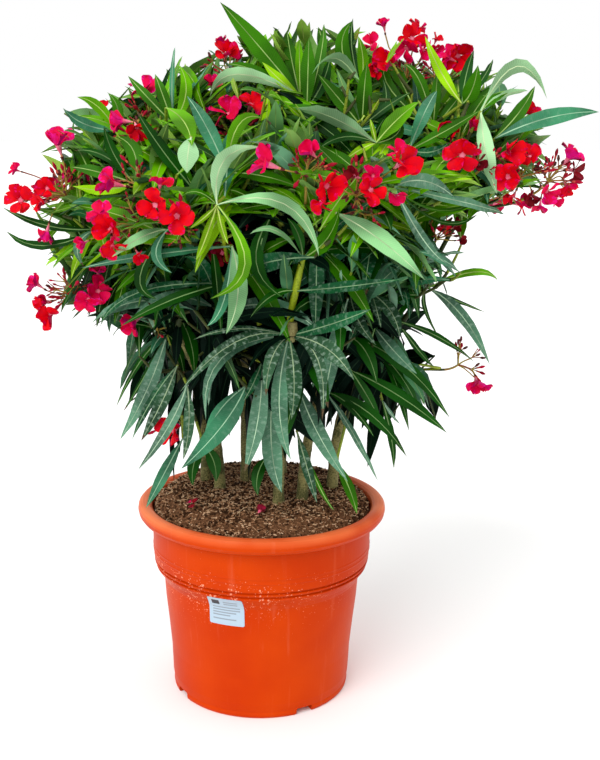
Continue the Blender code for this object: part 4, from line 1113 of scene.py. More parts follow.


# ---------------------------------------------------------------- leading leaves
# A leading leaf is set by where the view shows its tip, as (across, down, depth along Y), and the
# middle of its run, as (across, down). Then come its width (mm), its kind, and the side that the
# view shows: 1 the upper side, -1 the underside, 0 the edge of a leaf that lies flat.
# Leaves of the near-black kind among them are painted shade.
LEADERS = (
    ("crown_top_left", (300, 96, -0.02), (
        ((220, 2, -0.02), (262, 50), 30, "green", 1), ((210, 97, -0.07), (238, 74), 20, "pale", -1),
        ((287, 31, 0.02), (292, 62), 20, "green", 1), ((262, 62, -0.03), (280, 80), 16, "tip", 1),
        ((228, 64, -0.03), (258, 72), 15, "green", 1), ((299, 38, 0.0), None, 13, "fresh", 1))),
    ("crown_top", (307, 108, -0.03), (
        ((309, 37, -0.03), (308, 72), 22, "green", 1), ((324, 24, 0.02), (320, 60), 16, "green", 1),
        ((330, 58, 0.0), (322, 84), 18, "deep", 1))),
    ("crown_top", (361, 86, 0.0), (
        ((312, 74, -0.05), (336, 58), 20, "pale", -1), ((352, 21, 0.0), (342, 50), 22, "green", 1),
        ((358, 36, -0.02), (363, 60), 16, "fresh", 1), ((353, 18, 0.03), (352, 50), 11, "deep", 1))),
    ("crown_top", (362, 127, -0.04), (
        ((367, 62, -0.06), (364, 92), 22, "green", 1), ((383, 79, -0.02), (384, 108), 17, "deep", 1),
        ((411, 92, -0.03), None, 13, "deep", 1), ((318, 74, -0.04), (340, 100), 20, "green", 1))),
    ("crown_top", (376, 143, -0.08), (
        ((296, 109, -0.13), (332, 117), 24, "pale", -1), ((419, 102, -0.09), (397, 120), 27, "fresh", 1),
        ((402, 122, -0.07), (395, 136), 22, "green", 1), ((370, 119, -0.08), None, 7, "tip", 1),
        ((318, 150, -0.13), (345, 137), 16, "deep", 1), ((345, 160, -0.12), None, 11, "tip", 1))),
    ("crown_top_right", (433, 130, -0.01), (
        ((438, 70, -0.01), None, 16, "green", 1), ((404, 64, 0.0), (421, 84), 16, "green", 1),
        ((398, 56, 0.03), (386, 82), 18, "green", 1), ((468, 86, 0.0), (452, 106), 15, "green", 1))),
    ("crown_top_right", (409, 150, -0.06), (
        ((481, 110, -0.10), (446, 131), 20, "green", 1), ((437, 91, -0.05), (425, 112), 20, "teal", 1),
        ((450, 142, -0.10), (432, 152), 14, "old", 1))),
    ("crown_top_right", (462, 104, -0.04), (
        ((425, 36, -0.03), (441, 72), 16, "tip", 1), ((474, 50, 0.0), (466, 76), 16, "deep", 1),
        ((478, 65, -0.06), (472, 90), 24, "green", 1), ((493, 59, 0.02), (482, 80), 13, "deep", 1))),
    ("crown_upper_right", (481, 111, -0.08), (
        ((547, 99, -0.11), (517, 66), 20, "pale", -1), ((497, 194, -0.13), (486, 152), 24, "pale", -1),
        ((508, 93, -0.06), (494, 99), 12, "green", 1), ((528, 91, -0.04), (505, 95), 13, "pale", -1))),
    ("crown_upper_right", (494, 139, -0.07), (
        ((599, 112, -0.06), (548, 118), 25, "teal", 1), ((535, 86, -0.04), (518, 114), 20, "green", 1))),
    ("crown_front_left", (195, 191, -0.14), (
        ((136, 110, -0.14), (162, 150), 19, "deep", 1), ((168, 150, -0.13), None, 16, "green", 1))),
    ("crown_front_left", (227, 173, -0.16), (
        ((187, 96, -0.14), (208, 130), 22, "teal", 1), ((301, 188, -0.21), (262, 176), 19, "green", 1),
        ((262, 118, -0.17), (238, 126), 18, "fresh", 1))),
    ("crown_upper_left", (166, 108, -0.09), (
        ((192, 146, -0.17), (184, 122), 28, "fresh", 1),)),
    ("crown_upper_left", (191, 137, -0.16), (
        ((187, 173, -0.18), (188, 154), 28, "pale", -1),)),
    ("crown_upper_left", (173, 124, -0.05), (
        ((155, 74, -0.04), (163, 96), 16, "green", 1), ((178, 64, -0.03), (186, 92), 18, "fresh", 1),
        ((175, 47, 0.0), (172, 80), 7, "teal", 1), ((128, 76, -0.02), (148, 98), 15, "green", 1))),
    ("crown_far_left", (134, 183, -0.11), (
        ((104, 126, -0.10), (114, 155), 17, "deep", 1), ((115, 136, -0.07), (134, 152), 22, "green", 1),
        ((71, 167, -0.10), (98, 172), 17, "green", 1), ((73, 151, -0.07), (104, 156), 12, "deep", 1),
        ((72, 186, -0.13), (104, 190), 18, "tip", 1))),
    ("crown_upper_left", (116, 131, -0.01), (
        ((77, 97, -0.02), (98, 107), 18, "fresh", 1), ((63, 108, -0.04), (84, 124), 18, "teal", 1),
        ((108, 93, 0.0), (118, 110), 15, "green", 1))),
    ("crown_far_left", (97, 229, -0.08), (
        ((2, 207, -0.03), (48, 226), 12, "deep", 1), ((6, 231, -0.03), (44, 246), 16, "deep", 1),
        ((84, 267, -0.13), (78, 245), 12, "grey", 1), ((68, 216, -0.12), (84, 214), 11, "teal", 1))),
    ("crown_front_left", (217, 205, -0.21), (
        ((262, 147, -0.24), (224, 160), 22, "pale", -1), ((319, 256, -0.27), (284, 204), 21, "pale", 1),
        ((210, 299, -0.26), (245, 264), 17, "fresh", 1), ((196, 260, -0.25), (205, 240), 11, "tip", 1),
        ((190, 228, -0.24), (204, 218), 7, "tip", 1), ((228, 244, -0.23), (222, 228), 9, "tip", 1),
        ((179, 200, -0.21), (196, 192), 14, "green", 0))),
    ("crown_front_left", (168, 229, -0.19), (
        ((112, 257, -0.22), (140, 238), 16, "pale", 1), ((172, 273, -0.20), (156, 254), 14, "teal", 1),
        ((157, 299, -0.18), (140, 276), 16, "deep", 1))),
    ("crown_front_left", (232, 246, -0.18), (
        ((226, 334, -0.25), (238, 292), 25, "pale", 1), ((82, 268, -0.18), (146, 256), 14, "teal", 1),
        ((207, 326, -0.20), (224, 300), 14, "teal", 1))),
    ("crown_front_left", (226, 284, -0.16), (
        ((121, 326, -0.20), (172, 300), 17, "deep", 1), ((100, 327, -0.14), (140, 292), 15, "old", 1))),
    ("crown_front", (272, 214, -0.16), (
        ((258, 268, -0.18), (262, 240), 12, "deep", 1), ((282, 297, -0.20), (256, 262), 20, "deep", 1),
        ((230, 190, -0.20), (246, 196), 12, "green", 1))),
    ("crown_front", (303, 258, -0.18), (
        ((340, 206, -0.23), (328, 238), 26, "green", 1), ((376, 199, -0.21), (340, 224), 14, "old", 1),
        ((250, 234, -0.20), (276, 231), 11, "pale", 0), ((287, 218, -0.18), (298, 234), 13, "deep", 1),
        ((330, 272, -0.18), (320, 262), 16, "inner", 1))),
    ("crown_front_right", (336, 213, -0.21), (
        ((425, 280, -0.27), (380, 240), 30, "pale", 1),)),
    ("crown_front_right", (394, 187, -0.20), (
        ((454, 197, -0.24), (424, 181), 20, "grey", 1), ((446, 263, -0.20), (422, 238), 14, "grey", 1),
        ((484, 196, -0.13), (440, 211), 14, "green", 0), ((504, 214, -0.10), (470, 204), 16, "grey", 1),
        ((478, 214, -0.12), (440, 222), 11, "deep", 0))),
    ("crown_front", (295, 291, -0.17), (
        ((403, 279, -0.25), (345, 287), 17, "old", 1), ((250, 318, -0.2), (272, 296), 13, "deep", 1))),
    ("skirt_front_right", (289, 336, -0.16), (
        ((371, 309, -0.23), (332, 324), 20, "old", 1), ((354, 380, -0.24), (326, 348), 24, "dusty", 1),
        ((322, 421, -0.25), (318, 360), 16, "dusty", 1), ((291, 420, -0.26), (294, 380), 22, "dusty", 1),
        ((291, 460, -0.23), (279, 404), 23, "grey", 1), ((180, 392, -0.21), (236, 342), 19, "dusty", 1),
        ((193, 340, -0.20), (240, 329), 11, "dusty", 0), ((266, 396, -0.21), (272, 358), 19, "dusty", 1),
        ((206, 420, -0.20), (222, 358), 17, "grey", 1))),
    ("skirt_front_left", (262, 362, -0.14), (
        ((243, 402, -0.18), (254, 382), 12, "old", 1), ((244, 472, -0.18), (258, 420), 25, "grey", 1))),
    ("skirt_front_right", (272, 398, -0.13), (
        ((282, 493, -0.15), (272, 452), 28, "grey", 1),)),
    ("skirt_front_left", (246, 386, -0.13), (
        ((181, 469, -0.17), (222, 426), 30, "teal", 1), ((207, 450, -0.12), (216, 416), 16, "teal", 1))),
    ("skirt_left", (187, 384, -0.09), (
        ((138, 470, -0.13), (170, 424), 17, "grey", 1), ((183, 460, -0.13), (189, 424), 16, "dusty", 1))),
    ("skirt_left", (177, 366, -0.06), (
        ((141, 441, -0.09), (161, 404), 20, "dusty", 1), ((132, 440, -0.07), (152, 400), 13, "old", 1))),
    ("skirt_left", (167, 334, -0.03), (
        ((120, 440, -0.05), (148, 388), 24, "grey", 1), ((116, 407, 0.0), (140, 362), 9, "deep", 1),
        ((123, 412, 0.01), (146, 374), 8, "deep", 1), ((112, 338, 0.0), (130, 324), 8, "deep", 1),
        ((151, 354, -0.06), (158, 340), 14, "teal", 1), ((184, 376, -0.05), (178, 350), 14, "deep", 1))),
    ("skirt_left", (180, 318, -0.06), (
        ((194, 374, -0.10), (191, 344), 19, "deep", 1), ((176, 366, -0.09), (177, 342), 15, "inner", 1))),
    ("skirt_left", (183, 438, -0.06), (
        ((146, 508, -0.11), (164, 474), 18, "teal", 1),)),
    ("skirt_front_right", (298, 384, -0.13), (
        ((348, 482, -0.19), (316, 430), 25, "grey", 1),)),
    ("skirt_front_right", (297, 432, -0.10), (
        ((317, 503, -0.13), (307, 468), 16, "dusty", 1), ((334, 510, -0.14), (318, 484), 7, "green", 1))),
    ("skirt_right", (336, 462, -0.09), (
        ((357, 514, -0.14), (349, 488), 16, "green", 1),)),
    ("skirt_right", (326, 392, -0.09), (
        ((378, 481, -0.13), (352, 432), 11, "grey", 0), ((374, 437, -0.12), (350, 406), 13, "deep", 1),
        ((407, 457, -0.13), (370, 414), 21, "deep", 1))),
    ("skirt_right", (348, 336, -0.08), (
        ((450, 418, -0.11), (402, 364), 22, "deep", 1), ((377, 384, -0.12), (366, 352), 21, "deep", 1))),
    ("skirt_right", (350, 370, -0.08), (
        ((447, 433, -0.11), (402, 398), 22, "deep", 1), ((382, 424, -0.11), (366, 394), 16, "deep", 1))),
    ("crown_low_right", (372, 324, -0.07), (
        ((417, 374, -0.15), (393, 350), 20, "grey", 1),)),
    ("crown_low_right", (350, 292, -0.11), (
        ((376, 345, -0.18), (358, 320), 18, "dusty", 1),)),
    ("crown_low_right", (372, 294, -0.11), (
        ((400, 338, -0.17), (391, 312), 20, "dusty", 1), ((381, 328, -0.18), (376, 308), 12, "dusty", 1))),
    ("crown_low_right", (428, 288, -0.03), (
        ((490, 365, -0.05), (462, 316), 19, "grey", 1), ((485, 312, 0.0), (452, 299), 7, "deep", 1),
        ((498, 281, 0.02), (474, 272), 12, "fresh", 1), ((438, 336, 0.0), (424, 305), 7, "deep", 1))),
    ("crown_low_right", (397, 321, -0.04), (
        ((474, 362, -0.03), (438, 337), 12, "deep", 1), ((434, 367, -0.03), (418, 350), 11, "deep", 1))),
    ("skirt_right", (382, 400, -0.05), (
        ((394, 469, -0.06), (391, 436), 12, "deep", 1), ((400, 424, 0.0), (388, 410), 7, "grey", 1))),
    ("skirt_left", (204, 446, -0.02), (
        ((193, 486, -0.05), (194, 464), 20, "deep", 1), ((216, 482, -0.04), (214, 462), 21, "deep", 1))),
    ("skirt_front_left", (268, 456, -0.07), (
        ((258, 496, -0.11), (258, 474), 19, "deep", 1),)),
)


# ---------------------------------------------------------------- growth
def facing(point, side):
    """Direction that a leading leaf's upper side turns to."""
    near = (EYE - point).normalized()
    if side > 0:
        return near + UP * 0.5
    if side < 0:
        return UP * 0.5 - near
    return UP + near * 0.8


def led_spine(base, tip, middle):
    """Points of a leaf from its base to its tip, by way of where the view shows its middle."""
    if middle:
        pull = seen(*middle, (base.y + tip.y) / 2) * 2 - (base + tip) / 2
    else:
        pull = (base + tip) / 2 + UP * (tip - base).length * 0.08
    return bent(base, pull, tip, LEAF_ROWS)


def grow_leader(room, leaves, node, heart, tips, rng):
    """A whorl of leading leaves. Returns the line of the twig that carries it."""
    top = seen(*node)
    reach = (top - heart).length
    aim = (top - heart).normalized()
    for tip, middle, width, kind, side in tips:
        spine = led_spine(top, seen(*tip), middle)
        across = (spine[-1] - top).cross(facing(spine[6], side))
        points = leaf_points(spine, across, width * MM)
        room.keep_sight(spread_points(points))
        room.place_leaf(leaves, spine, across, width * MM, points, kind, rng, LEAD_FOLD)
    return bezier(heart, heart + (aim + UP * 0.2) * reach * 0.35, top - aim * reach * 0.3, top, 6)


# stems that stand clear of the leaves: mass, radius, and the points that the view shows them at
STEMS = (
    ("skirt_front_right", 0.0050, ((285, 352, -0.13), (288, 336, -0.155), (292, 308, -0.165),
                                   (297, 284, -0.17), (303, 257, -0.18))),
    ("skirt_front_left", 0.0036, ((264, 345, -0.11), (260, 326, -0.13), (256, 312, -0.14),
                                  (252, 300, -0.14))),
    ("crown_front_left", 0.0026, ((228, 262, -0.15), (222, 232, -0.19), (216, 205, -0.21))),
    ("crown_stray", 0.0020, ((440, 368, 0.03), (418, 364, 0.01), (392, 361, -0.02))),
)
# a dry sheath that stands a little off the main stem, under its whorl
SHEATH = ((291, 341, -0.160), (292, 331, -0.163), (293, 322, -0.164))
SHEATH_RADII = (0.0054, 0.0080, 0.0055)


def grow_stem(room, twigs, heart, radius, places):
    """A young stem through its points, thick and yellow-green."""
    line = [heart] + [seen(*place) for place in places]
    tube(twigs, line, [radius] * len(places) + [radius * 0.8], 8, "stem")
    room.keep_sight([a + (b - a) * t for a, b in zip(line[1:], line[2:]) for t in (0, 0.3, 0.6, 1)])


def pick(rng, shares):
    """A name picked by its share."""
    return rng.choices(list(shares), list(shares.values()))[0]


def leaf_kind(rng, point, youth, hangs):
    """Kind of a leaf by where its middle is in the crown and its place along the shoot."""
    inner = next(share for height, share in INNER if point.z < height)
    shaded = point.z < INNER_HEIGHT and abs(point.x - CROWN_FOOT.x) < INNER_HALF
    # near the middle, low in the crown, a leaf takes the near-black kind: painted shade
    if shaded and from_middle(point) < inner:
        return "inner"
    # on the lit left side leaves take brighter kinds: painted light
    height = point.z + (SUNNY_LIFT if point.x < SUNNY_SIDE else 0)
    for limit, young, at_tip, below in PICKS:
        if hangs or height < limit:
            return pick(rng, at_tip if youth > young else below)


def try_leaf(room, bundle, root, axis, turn, youth, hangs, rng):
    """A rule leaf at a place on a shoot, if there is room for it."""
    for attempt in range(TRIES):
        splay = SPLAY_OLD + (SPLAY_YOUNG - SPLAY_OLD) * youth + rng.uniform(-SPLAY_JITTER, SPLAY_JITTER)
        direction = tilted(axis, turn + rng.uniform(-0.5, 0.5) * min(1, attempt), math.radians(splay))
        tip = max(0, youth - (1 - TIP_SHARE))
        length = rng.uniform(*LEAF_LENGTH) * (1 - TIP_SHORTER * tip / TIP_SHARE)
        length *= RETRY_SHORTER ** attempt
        width = rng.uniform(*LEAF_WIDTH) * (0.45 + 0.55 * length / LEAF_LENGTH[1])
        droop = (DROOP_HANGING if hangs else DROOP) * (1.15 - youth) * rng.uniform(0.6, 1.4)
        spine = drooping_spine(root, direction, length, droop)
        side = direction.cross(axis + UP * 0.4)
        if side.length < 0.05 or not all(may_reach(spine[place]) for place in (4, 6, 8, 11)):
            continue
        points = leaf_points(spine, side, width)
        if room.crowding(points) > CROWDED or room.hides(points) > HIDING:
            continue
        kind = leaf_kind(rng, spine[6], youth, hangs)
        room.place_leaf(bundle, spine, side, width, points, kind, rng)
        return True
    return False


def fill_gaps(room, pieces, twigs, hearts, rng):
    """Dark leaves deep in the crown, behind the gaps that the view would see through; low down most are the
    near-black kind, painted shade.
    """
    places = [(across, down) for down in range(*GAP_ROWS, GLIMPSE)
              for across in range(*GAP_COLUMNS, GLIMPSE)]
    for across, down in places:
        if not room.enclosed(across // GLIMPSE, down // GLIMPSE):
            continue
        middle = seen(across + GLIMPSE / 2, down + GLIMPSE / 2, rng.uniform(*GAP_DEPTH))
        name = min(hearts, key=lambda mass: (hearts[mass] - middle).length)
        for _ in range(TRIES):
            length = rng.uniform(*GAP_LENGTH)
            direction = tilted(UP, rng.uniform(0, math.tau), math.radians(rng.uniform(*GAP_TILT)))
            base = middle - direction * length * 0.45
            spine = drooping_spine(base, direction, length, 0.3)
            side = direction.cross(middle - EYE)
            width = rng.uniform(*LEAF_WIDTH)
            points = leaf_points(spine, side, width)
            if side.length < 0.05 or not room.in_outline(points) or room.hides(points) > HIDING:
                continue
            kind = pick(rng, GAP_PICKS_HIGH if middle.z > GAP_GREEN_ABOVE else GAP_PICKS_LOW)
            room.place_leaf(pieces[name], spine, side, width, points, kind, rng)
            tube(twigs, [hearts[name], base], [0.0018, 0.0012], 5, "shoot_old")
            break


def shoot_line(foot, direction, length, rise):
    """Points of a shoot that turns up along its length."""
    end = foot + (direction + UP * rise).normalized() * length
    return bent(foot, foot + direction * length * 0.5, end, (0, 0.2, 0.4, 0.6, 0.8, 1))


def lengths_along(line):
    """How far along a line each of its points is."""
    lengths = [0]
    for start, end in zip(line, line[1:]):
        lengths.append(lengths[-1] + (end - start).length)
    return lengths


def point_along(line, lengths, place, slack):
    """Point of a line at a place along it, the line's direction there, and its step."""
    step = max(index for index, length in enumerate(lengths[:-1]) if length <= place + slack)
    axis = (line[step + 1] - line[step]).normalized()
    return line[step] + axis * (place - lengths[step]), axis, step


def grow_spears(leaves, root, axis, turns, rng):
    """Young leaves at a shoot's tip, upright and still rolled."""
    for turn in turns:
        spear = tilted(axis, turn, math.radians(rng.uniform(4, 14)))
        spine = drooping_spine(root, spear, rng.uniform(*SPEAR_LENGTH), 0.1)
        if from_middle(spine[-1]) < 1:
            side = spear.cross(axis)
            side = side if side.length > 0.02 else spear.orthogonal()
            add_leaf(leaves, spine, side, SPEAR_WIDTH, "tip", rng, 0.8)


def whorl_turns(rng, start):
    """Turns round the shoot of a whorl's three leaves."""
    return [start + math.tau * number / 3 + rng.uniform(-0.25, 0.25) for number in range(3)]


def grow_shoot(room, leaves, line, hangs, rng, young=True):
    """The whorls of three along a shoot's line. Returns how far along it the last leaf is."""
    lengths = lengths_along(line)
    run = lengths[-1] - WHORL_START
    reach = 0
    count = max(1, int(run / WHORL_STEP))
    turn = rng.uniform(0, math.tau)
    for number in range(count + 1):
        place = WHORL_START + run * number / count
        root, axis, _ = point_along(line, lengths, place, 1e-6)
        youth = number / count if young else number / count * 0.75
        for leaf_turn in whorl_turns(rng, turn):
            if try_leaf(room, leaves, root, axis, leaf_turn, youth, hangs, rng):
                reach = place
        if young and number == count and line[0].z > SPEARS_ABOVE and rng.random() < SPEARS:
            grow_spears(leaves, root, axis, whorl_turns(rng, turn + 0.5)[:2], rng)
        turn += math.pi / 3
    return reach


def draw_shoot(twigs, line, reach):
    """The shoot's own stem, as far as the last thing it carries."""
    if not reach:
        return
    lengths = lengths_along(line)
    end, _, last = point_along(line, lengths, reach, -1e-6)
    radii = [SHOOT_RADIUS + (SHOOT_TIP_RADIUS - SHOOT_RADIUS) * min(length, reach) / reach
             for length in lengths[:last + 2]]
    green = lengths[-1] * GREEN_FROM if line[0].z > GREEN_ABOVE else math.inf
    looks = ["shoot" if length > green else "shoot_old" for length in lengths[1:last + 2]]
    tube(twigs, line[:last + 1] + [end], radii, 6, looks)


def grow_mass(room, leaves, twigs, name, heart, shoots, opening):
    """The shoots of one mass, each with its side shoots."""
    hangs = name.startswith("skirt")
    rng = random.Random(name)
    start = rng.uniform(0, math.tau)
    rise, side_rise, forks = (0.1, 0.0, SKIRT_SIDE_SHOOTS) if hangs else (0.45, 0.35, SIDE_SHOOTS)
    for direction in spiral(mass_lean(name, heart), shoots, opening, rng, 0.5, 0.3, start):
        line = shoot_line(heart, direction, rng.uniform(*SHOOT_LENGTH), rise)
        if any(map(in_hole, line)):
            continue
        reach = grow_shoot(room, leaves, line, hangs, rng)
        for place in forks:
            out = tilted((line[-1] - line[0]).normalized(), rng.uniform(0, math.tau),
                         math.radians(rng.uniform(40, 75)))
            side = shoot_line(line[place], out, rng.uniform(*SIDE_LENGTH), side_rise)
            if any(map(in_hole, side)):
                continue
            side_reach = grow_shoot(room, leaves, side, hangs, rng, heart.z > YOUNG_ABOVE)
            draw_shoot(twigs, side, side_reach)
            if side_reach:
                reach = max(reach, lengths_along(line)[place])
        draw_shoot(twigs, line, reach)


# ---------------------------------------------------------------- heads of blossom
# Each head: its mass, its hub as (across, down, depth) in the view, how many buds it has, and its
# open flowers. A flower: where the view shows its mouth, the way it faces as (right, up, near), its
# size, and its petals' look.
HEADS = (
    ("crown_top_left", (228, 76, 0.02), 9, (
        ((226, 54, 0.0), (0.3, 0.2, 0.9), 0.95, "petal"),
        ((222, 44, 0.02), (-0.1, 0.9, 0.1), 0.6, "pink"))),
    ("crown_top_left", (238, 138, -0.04), 14, (
        ((228, 113, -0.06), (-0.5, 0.6, 0.6), 1.1, "pink"),
        ((251, 104, -0.05), (0.2, 0.6, 0.8), 1.0, "petal"), ((212, 84, 0.0), (-0.1, 0.8, 0.5), 0.7, "pink"),
        ((198, 113, -0.02), (0.3, 0.7, 0.5), 0.8, "pink"))),
    ("crown_upper_left", (150, 122, 0.01), 12, (
        ((144, 91, 0.0), (-0.1, 0.7, 0.6), 1.05, "pink"),
        ((104, 107, 0.03), (-0.3, 0.8, 0.4), 0.5, "petal"))),
    ("crown_upper_left", (140, 140, -0.05), 8, (
        ((122, 121, -0.06), (-0.9, 0.2, 0.4), 0.95, "pink"),
        ((137, 128, -0.08), (0.4, -0.2, 0.9), 0.8, "petal"))),
    ("crown_far_left", (66, 196, -0.05), 25, (
        ((58, 144, -0.06), (-0.3, 0.9, 0.2), 1.15, "pink"),
        ((20, 200, -0.06), (-0.5, 0.0, 0.9), 1.1, "petal"),
        ((47, 188, -0.09), (0.1, 0.3, 0.95), 0.8, "petal"),
        ((41, 202, -0.09), (-0.4, -0.2, 0.9), 0.7, "petal"),
        ((16, 170, -0.03), (-0.9, 0.3, 0.3), 0.5, "pink"),
        ((47, 232, -0.07), (0.0, -0.95, 0.3), 0.75, "pink"),
        ((64, 180, -0.04), (0.3, 0.8, 0.5), 0.6, "pink"))),
    ("crown_front_left", (140, 187, -0.14), 6, (
        ((113, 184, -0.16), (-0.8, 0.2, 0.3), 1.05, "pink"),)),
    ("crown_front_left", (140, 226, -0.16), 16, (
        ((110, 230, -0.21), (-0.1, 0.1, 0.98), 1.15, "petal"),
        ((103, 216, -0.19), (-0.6, 0.6, 0.5), 0.95, "pink"),
        ((112, 246, -0.22), (0.1, -0.5, 0.9), 0.9, "petal"),
        ((84, 243, -0.15), (-0.5, -0.2, 0.7), 0.6, "pink"),
        ((139, 255, -0.19), (0.3, -0.6, 0.6), 0.6, "petal"))),
    ("crown_front_left", (184, 232, -0.21), 12, (
        ((155, 205, -0.25), (-0.3, 0.2, 0.95), 1.05, "petal"),
        ((177, 216, -0.26), (0.15, 0.05, 0.98), 1.1, "petal"),
        ((160, 184, -0.23), (0.0, 0.9, 0.4), 0.7, "petal"))),
    ("crown_front_left", (236, 252, -0.14), 3, (
        ((222, 253, -0.15), (-0.4, 0.1, 0.9), 0.9, "petal_dark"),)),
    ("crown_low_left", (74, 296, -0.06), 16, (
        ((37, 284, -0.07), (-0.7, 0.4, 0.5), 0.75, "pink"), ((98, 291, -0.1), (0.3, 0.2, 0.9), 1.0, "pink"),
        ((88, 300, -0.11), (-0.2, -0.2, 0.95), 0.9, "pink"),
        ((50, 315, -0.09), (-0.5, -0.4, 0.8), 0.95, "petal"),
        ((45, 302, -0.08), (-0.8, 0.0, 0.6), 0.8, "petal"),
        ((98, 272, -0.08), (0.3, 0.8, 0.4), 0.6, "pink"))),
    ("crown_low_left", (158, 330, -0.04), 2, (
        ((134, 321, -0.1), (-0.4, -0.4, 0.8), 1.0, "pink"),)),
    ("crown_front", (306, 176, -0.22), 14, (
        ((267, 164, -0.26), (-0.75, 0.25, 0.6), 1.15, "pink"),
        ((311, 152, -0.24), (-0.5, 0.5, 0.6), 0.8, "pink"),
        ((327, 186, -0.265), (0.1, 0.1, 1.0), 1.1, "petal"),
        ((321, 203, -0.265), (-0.2, -0.8, 0.5), 0.7, "petal"))),
    ("crown_front_right", (356, 196, -0.21), 22, (
        ((401, 163, -0.25), (0.5, 0.1, 0.85), 1.1, "petal"),
        ((397, 152, -0.22), (-0.2, 0.9, 0.4), 0.7, "pink"),
        ((373, 176, -0.25), (0.5, 0.2, 0.8), 0.7, "pink"),
        ((371, 190, -0.26), (0.2, -0.2, 0.95), 0.9, "petal"),
        ((354, 176, -0.24), (-0.4, 0.3, 0.8), 0.7, "petal_dark"),
        ((396, 196, -0.24), (0.7, -0.4, 0.5), 0.6, "pink"))),
    ("crown_front_right", (365, 216, -0.2), 8, ()),
    ("crown_top_right", (406, 82, 0.05), 20, (
        ((371, 45, 0.04), (-0.5, 0.6, 0.6), 0.8, "pink"), ((388, 63, 0.0), (-0.3, 0.1, 0.95), 1.1, "petal"),
        ((376, 70, 0.0), (-0.6, -0.2, 0.8), 0.8, "petal"),
        ((384, 26, 0.07), (-0.2, 0.95, 0.2), 0.6, "pink"),
        ((412, 38, 0.05), (0.0, 0.5, 0.8), 1.05, "petal"),
        ((406, 48, 0.02), (-0.4, -0.1, 0.9), 0.9, "pink"), ((417, 30, 0.07), (0.2, 0.9, 0.3), 0.8, "petal"),
        ((424, 50, 0.02), (0.5, -0.3, 0.8), 0.8, "pink"))),
    ("crown_top_right", (438, 86, 0.05), 12, (
        ((458, 56, 0.03), (0.2, 0.2, 0.95), 1.15, "petal"),
        ((449, 58, 0.02), (-0.5, 0.3, 0.8), 0.8, "pink"), ((436, 40, 0.07), (0.4, 0.8, 0.3), 0.5, "petal"),
        ((436, 50, 0.05), (0.2, 0.3, 0.8), 0.6, "pink"))),
    ("crown_upper_right", (480, 170, -0.1), 10, (
        ((462, 155, -0.15), (-0.2, 0.1, 0.97), 1.2, "petal"),
        ((450, 132, -0.07), (-0.4, 0.5, 0.7), 0.9, "petal"),
        ((472, 128, -0.07), (0.3, 0.5, 0.8), 0.8, "petal"),
        ((476, 163, -0.12), (0.6, -0.1, 0.8), 0.7, "petal_dark"))),
    ("crown_far_right", (520, 178, -0.07), 16, (
        ((509, 152, -0.1), (0.1, 0.4, 0.9), 1.05, "petal"),
        ((508, 177, -0.12), (-0.3, -0.3, 0.9), 1.1, "petal"),
        ((530, 156, -0.08), (0.2, 0.5, 0.8), 0.8, "petal"),
        ((526, 112, -0.03), (0.3, 0.6, 0.7), 0.8, "petal"),
        ((513, 197, -0.1), (-0.2, -0.8, 0.5), 0.75, "petal"),
        ((532, 196, -0.08), (0.2, -0.6, 0.7), 0.7, "petal_dark"))),
    ("crown_far_right", (548, 182, -0.05), 18, (
        ((569, 158, -0.05), (0.6, 0.5, 0.6), 1.0, "pink"),
        ((574, 170, -0.05), (0.8, 0.0, 0.6), 0.8, "petal_dark"),
        ((567, 186, -0.06), (0.4, -0.7, 0.6), 0.75, "petal"),
        ((547, 192, -0.09), (0.1, -0.4, 0.9), 0.9, "pink"),
        ((540, 206, -0.07), (-0.1, -0.9, 0.3), 0.6, "pink"),
        ((556, 200, -0.06), (0.4, -0.6, 0.5), 0.6, "pink"))),
    ("crown_low_right", (436, 240, -0.02), 12, (
        ((456, 226, -0.03), (0.7, 0.5, 0.3), 0.55, "petal_dark"),
        ((460, 240, -0.02), (0.9, -0.1, 0.3), 0.45, "petal_dark"))),
    ("crown_stray", (458, 365, 0.04), 9, (
        ((476, 382, 0.02), (0.2, -0.6, 0.7), 0.8, "pink"),
        ((486, 386, 0.03), (0.7, -0.5, 0.4), 0.45, "pink"))),
    ("skirt_left", (176, 418, -0.03), 1, (
        ((173, 431, -0.075), (-0.3, -0.2, 0.95), 1.15, "petal"),)),
)
# heads out of the view: mass, hub (x, y, z), buds and flowers
BACK_HEADS = (
    ("crown_top_right", (0.235, 0.15, 0.89), 6, 4), ("crown_back_left", (-0.185, 0.205, 0.77), 8, 6),
    ("crown_back_left", (-0.11, 0.225, 0.8), 6, 4), ("crown_back", (0.015, 0.255, 0.785), 8, 6),
    ("crown_back", (-0.03, 0.24, 0.69), 6, 4), ("crown_back_right", (0.215, 0.215, 0.775), 8, 6),
    ("crown_back_right", (0.24, 0.17, 0.7), 6, 4), ("crown_back_top", (0.06, 0.155, 0.91), 8, 6),
    ("crown_far_right", (0.35, 0.12, 0.75), 6, 4), ("crown_far_left", (-0.27, 0.08, 0.74), 6, 4),
    ("crown_upper_left", (-0.2, 0.11, 0.84), 6, 4),
)


def view_axis(point, right, up, near):
    """Direction given as seen in the view from a point: right, up and near."""
    return (EYE_RIGHT * right + UP * up + (EYE - point).normalized() * near).normalized()


def grow_stalk(bundle, start, end, aim, radius, rng):
    """A stalk from a hub to the foot of a flower or a bud, meeting it along its axis."""
    reach = (end - start).length
    lift = (end - start).normalized() + UP * 0.3
    line = bezier(start, start + lift * reach * 0.4, end - aim * reach * 0.4, end, 4)
    tube(bundle, line, [radius * 1.25, radius, radius, radius, radius * 1.1], 5, rng.choice(STALKS))


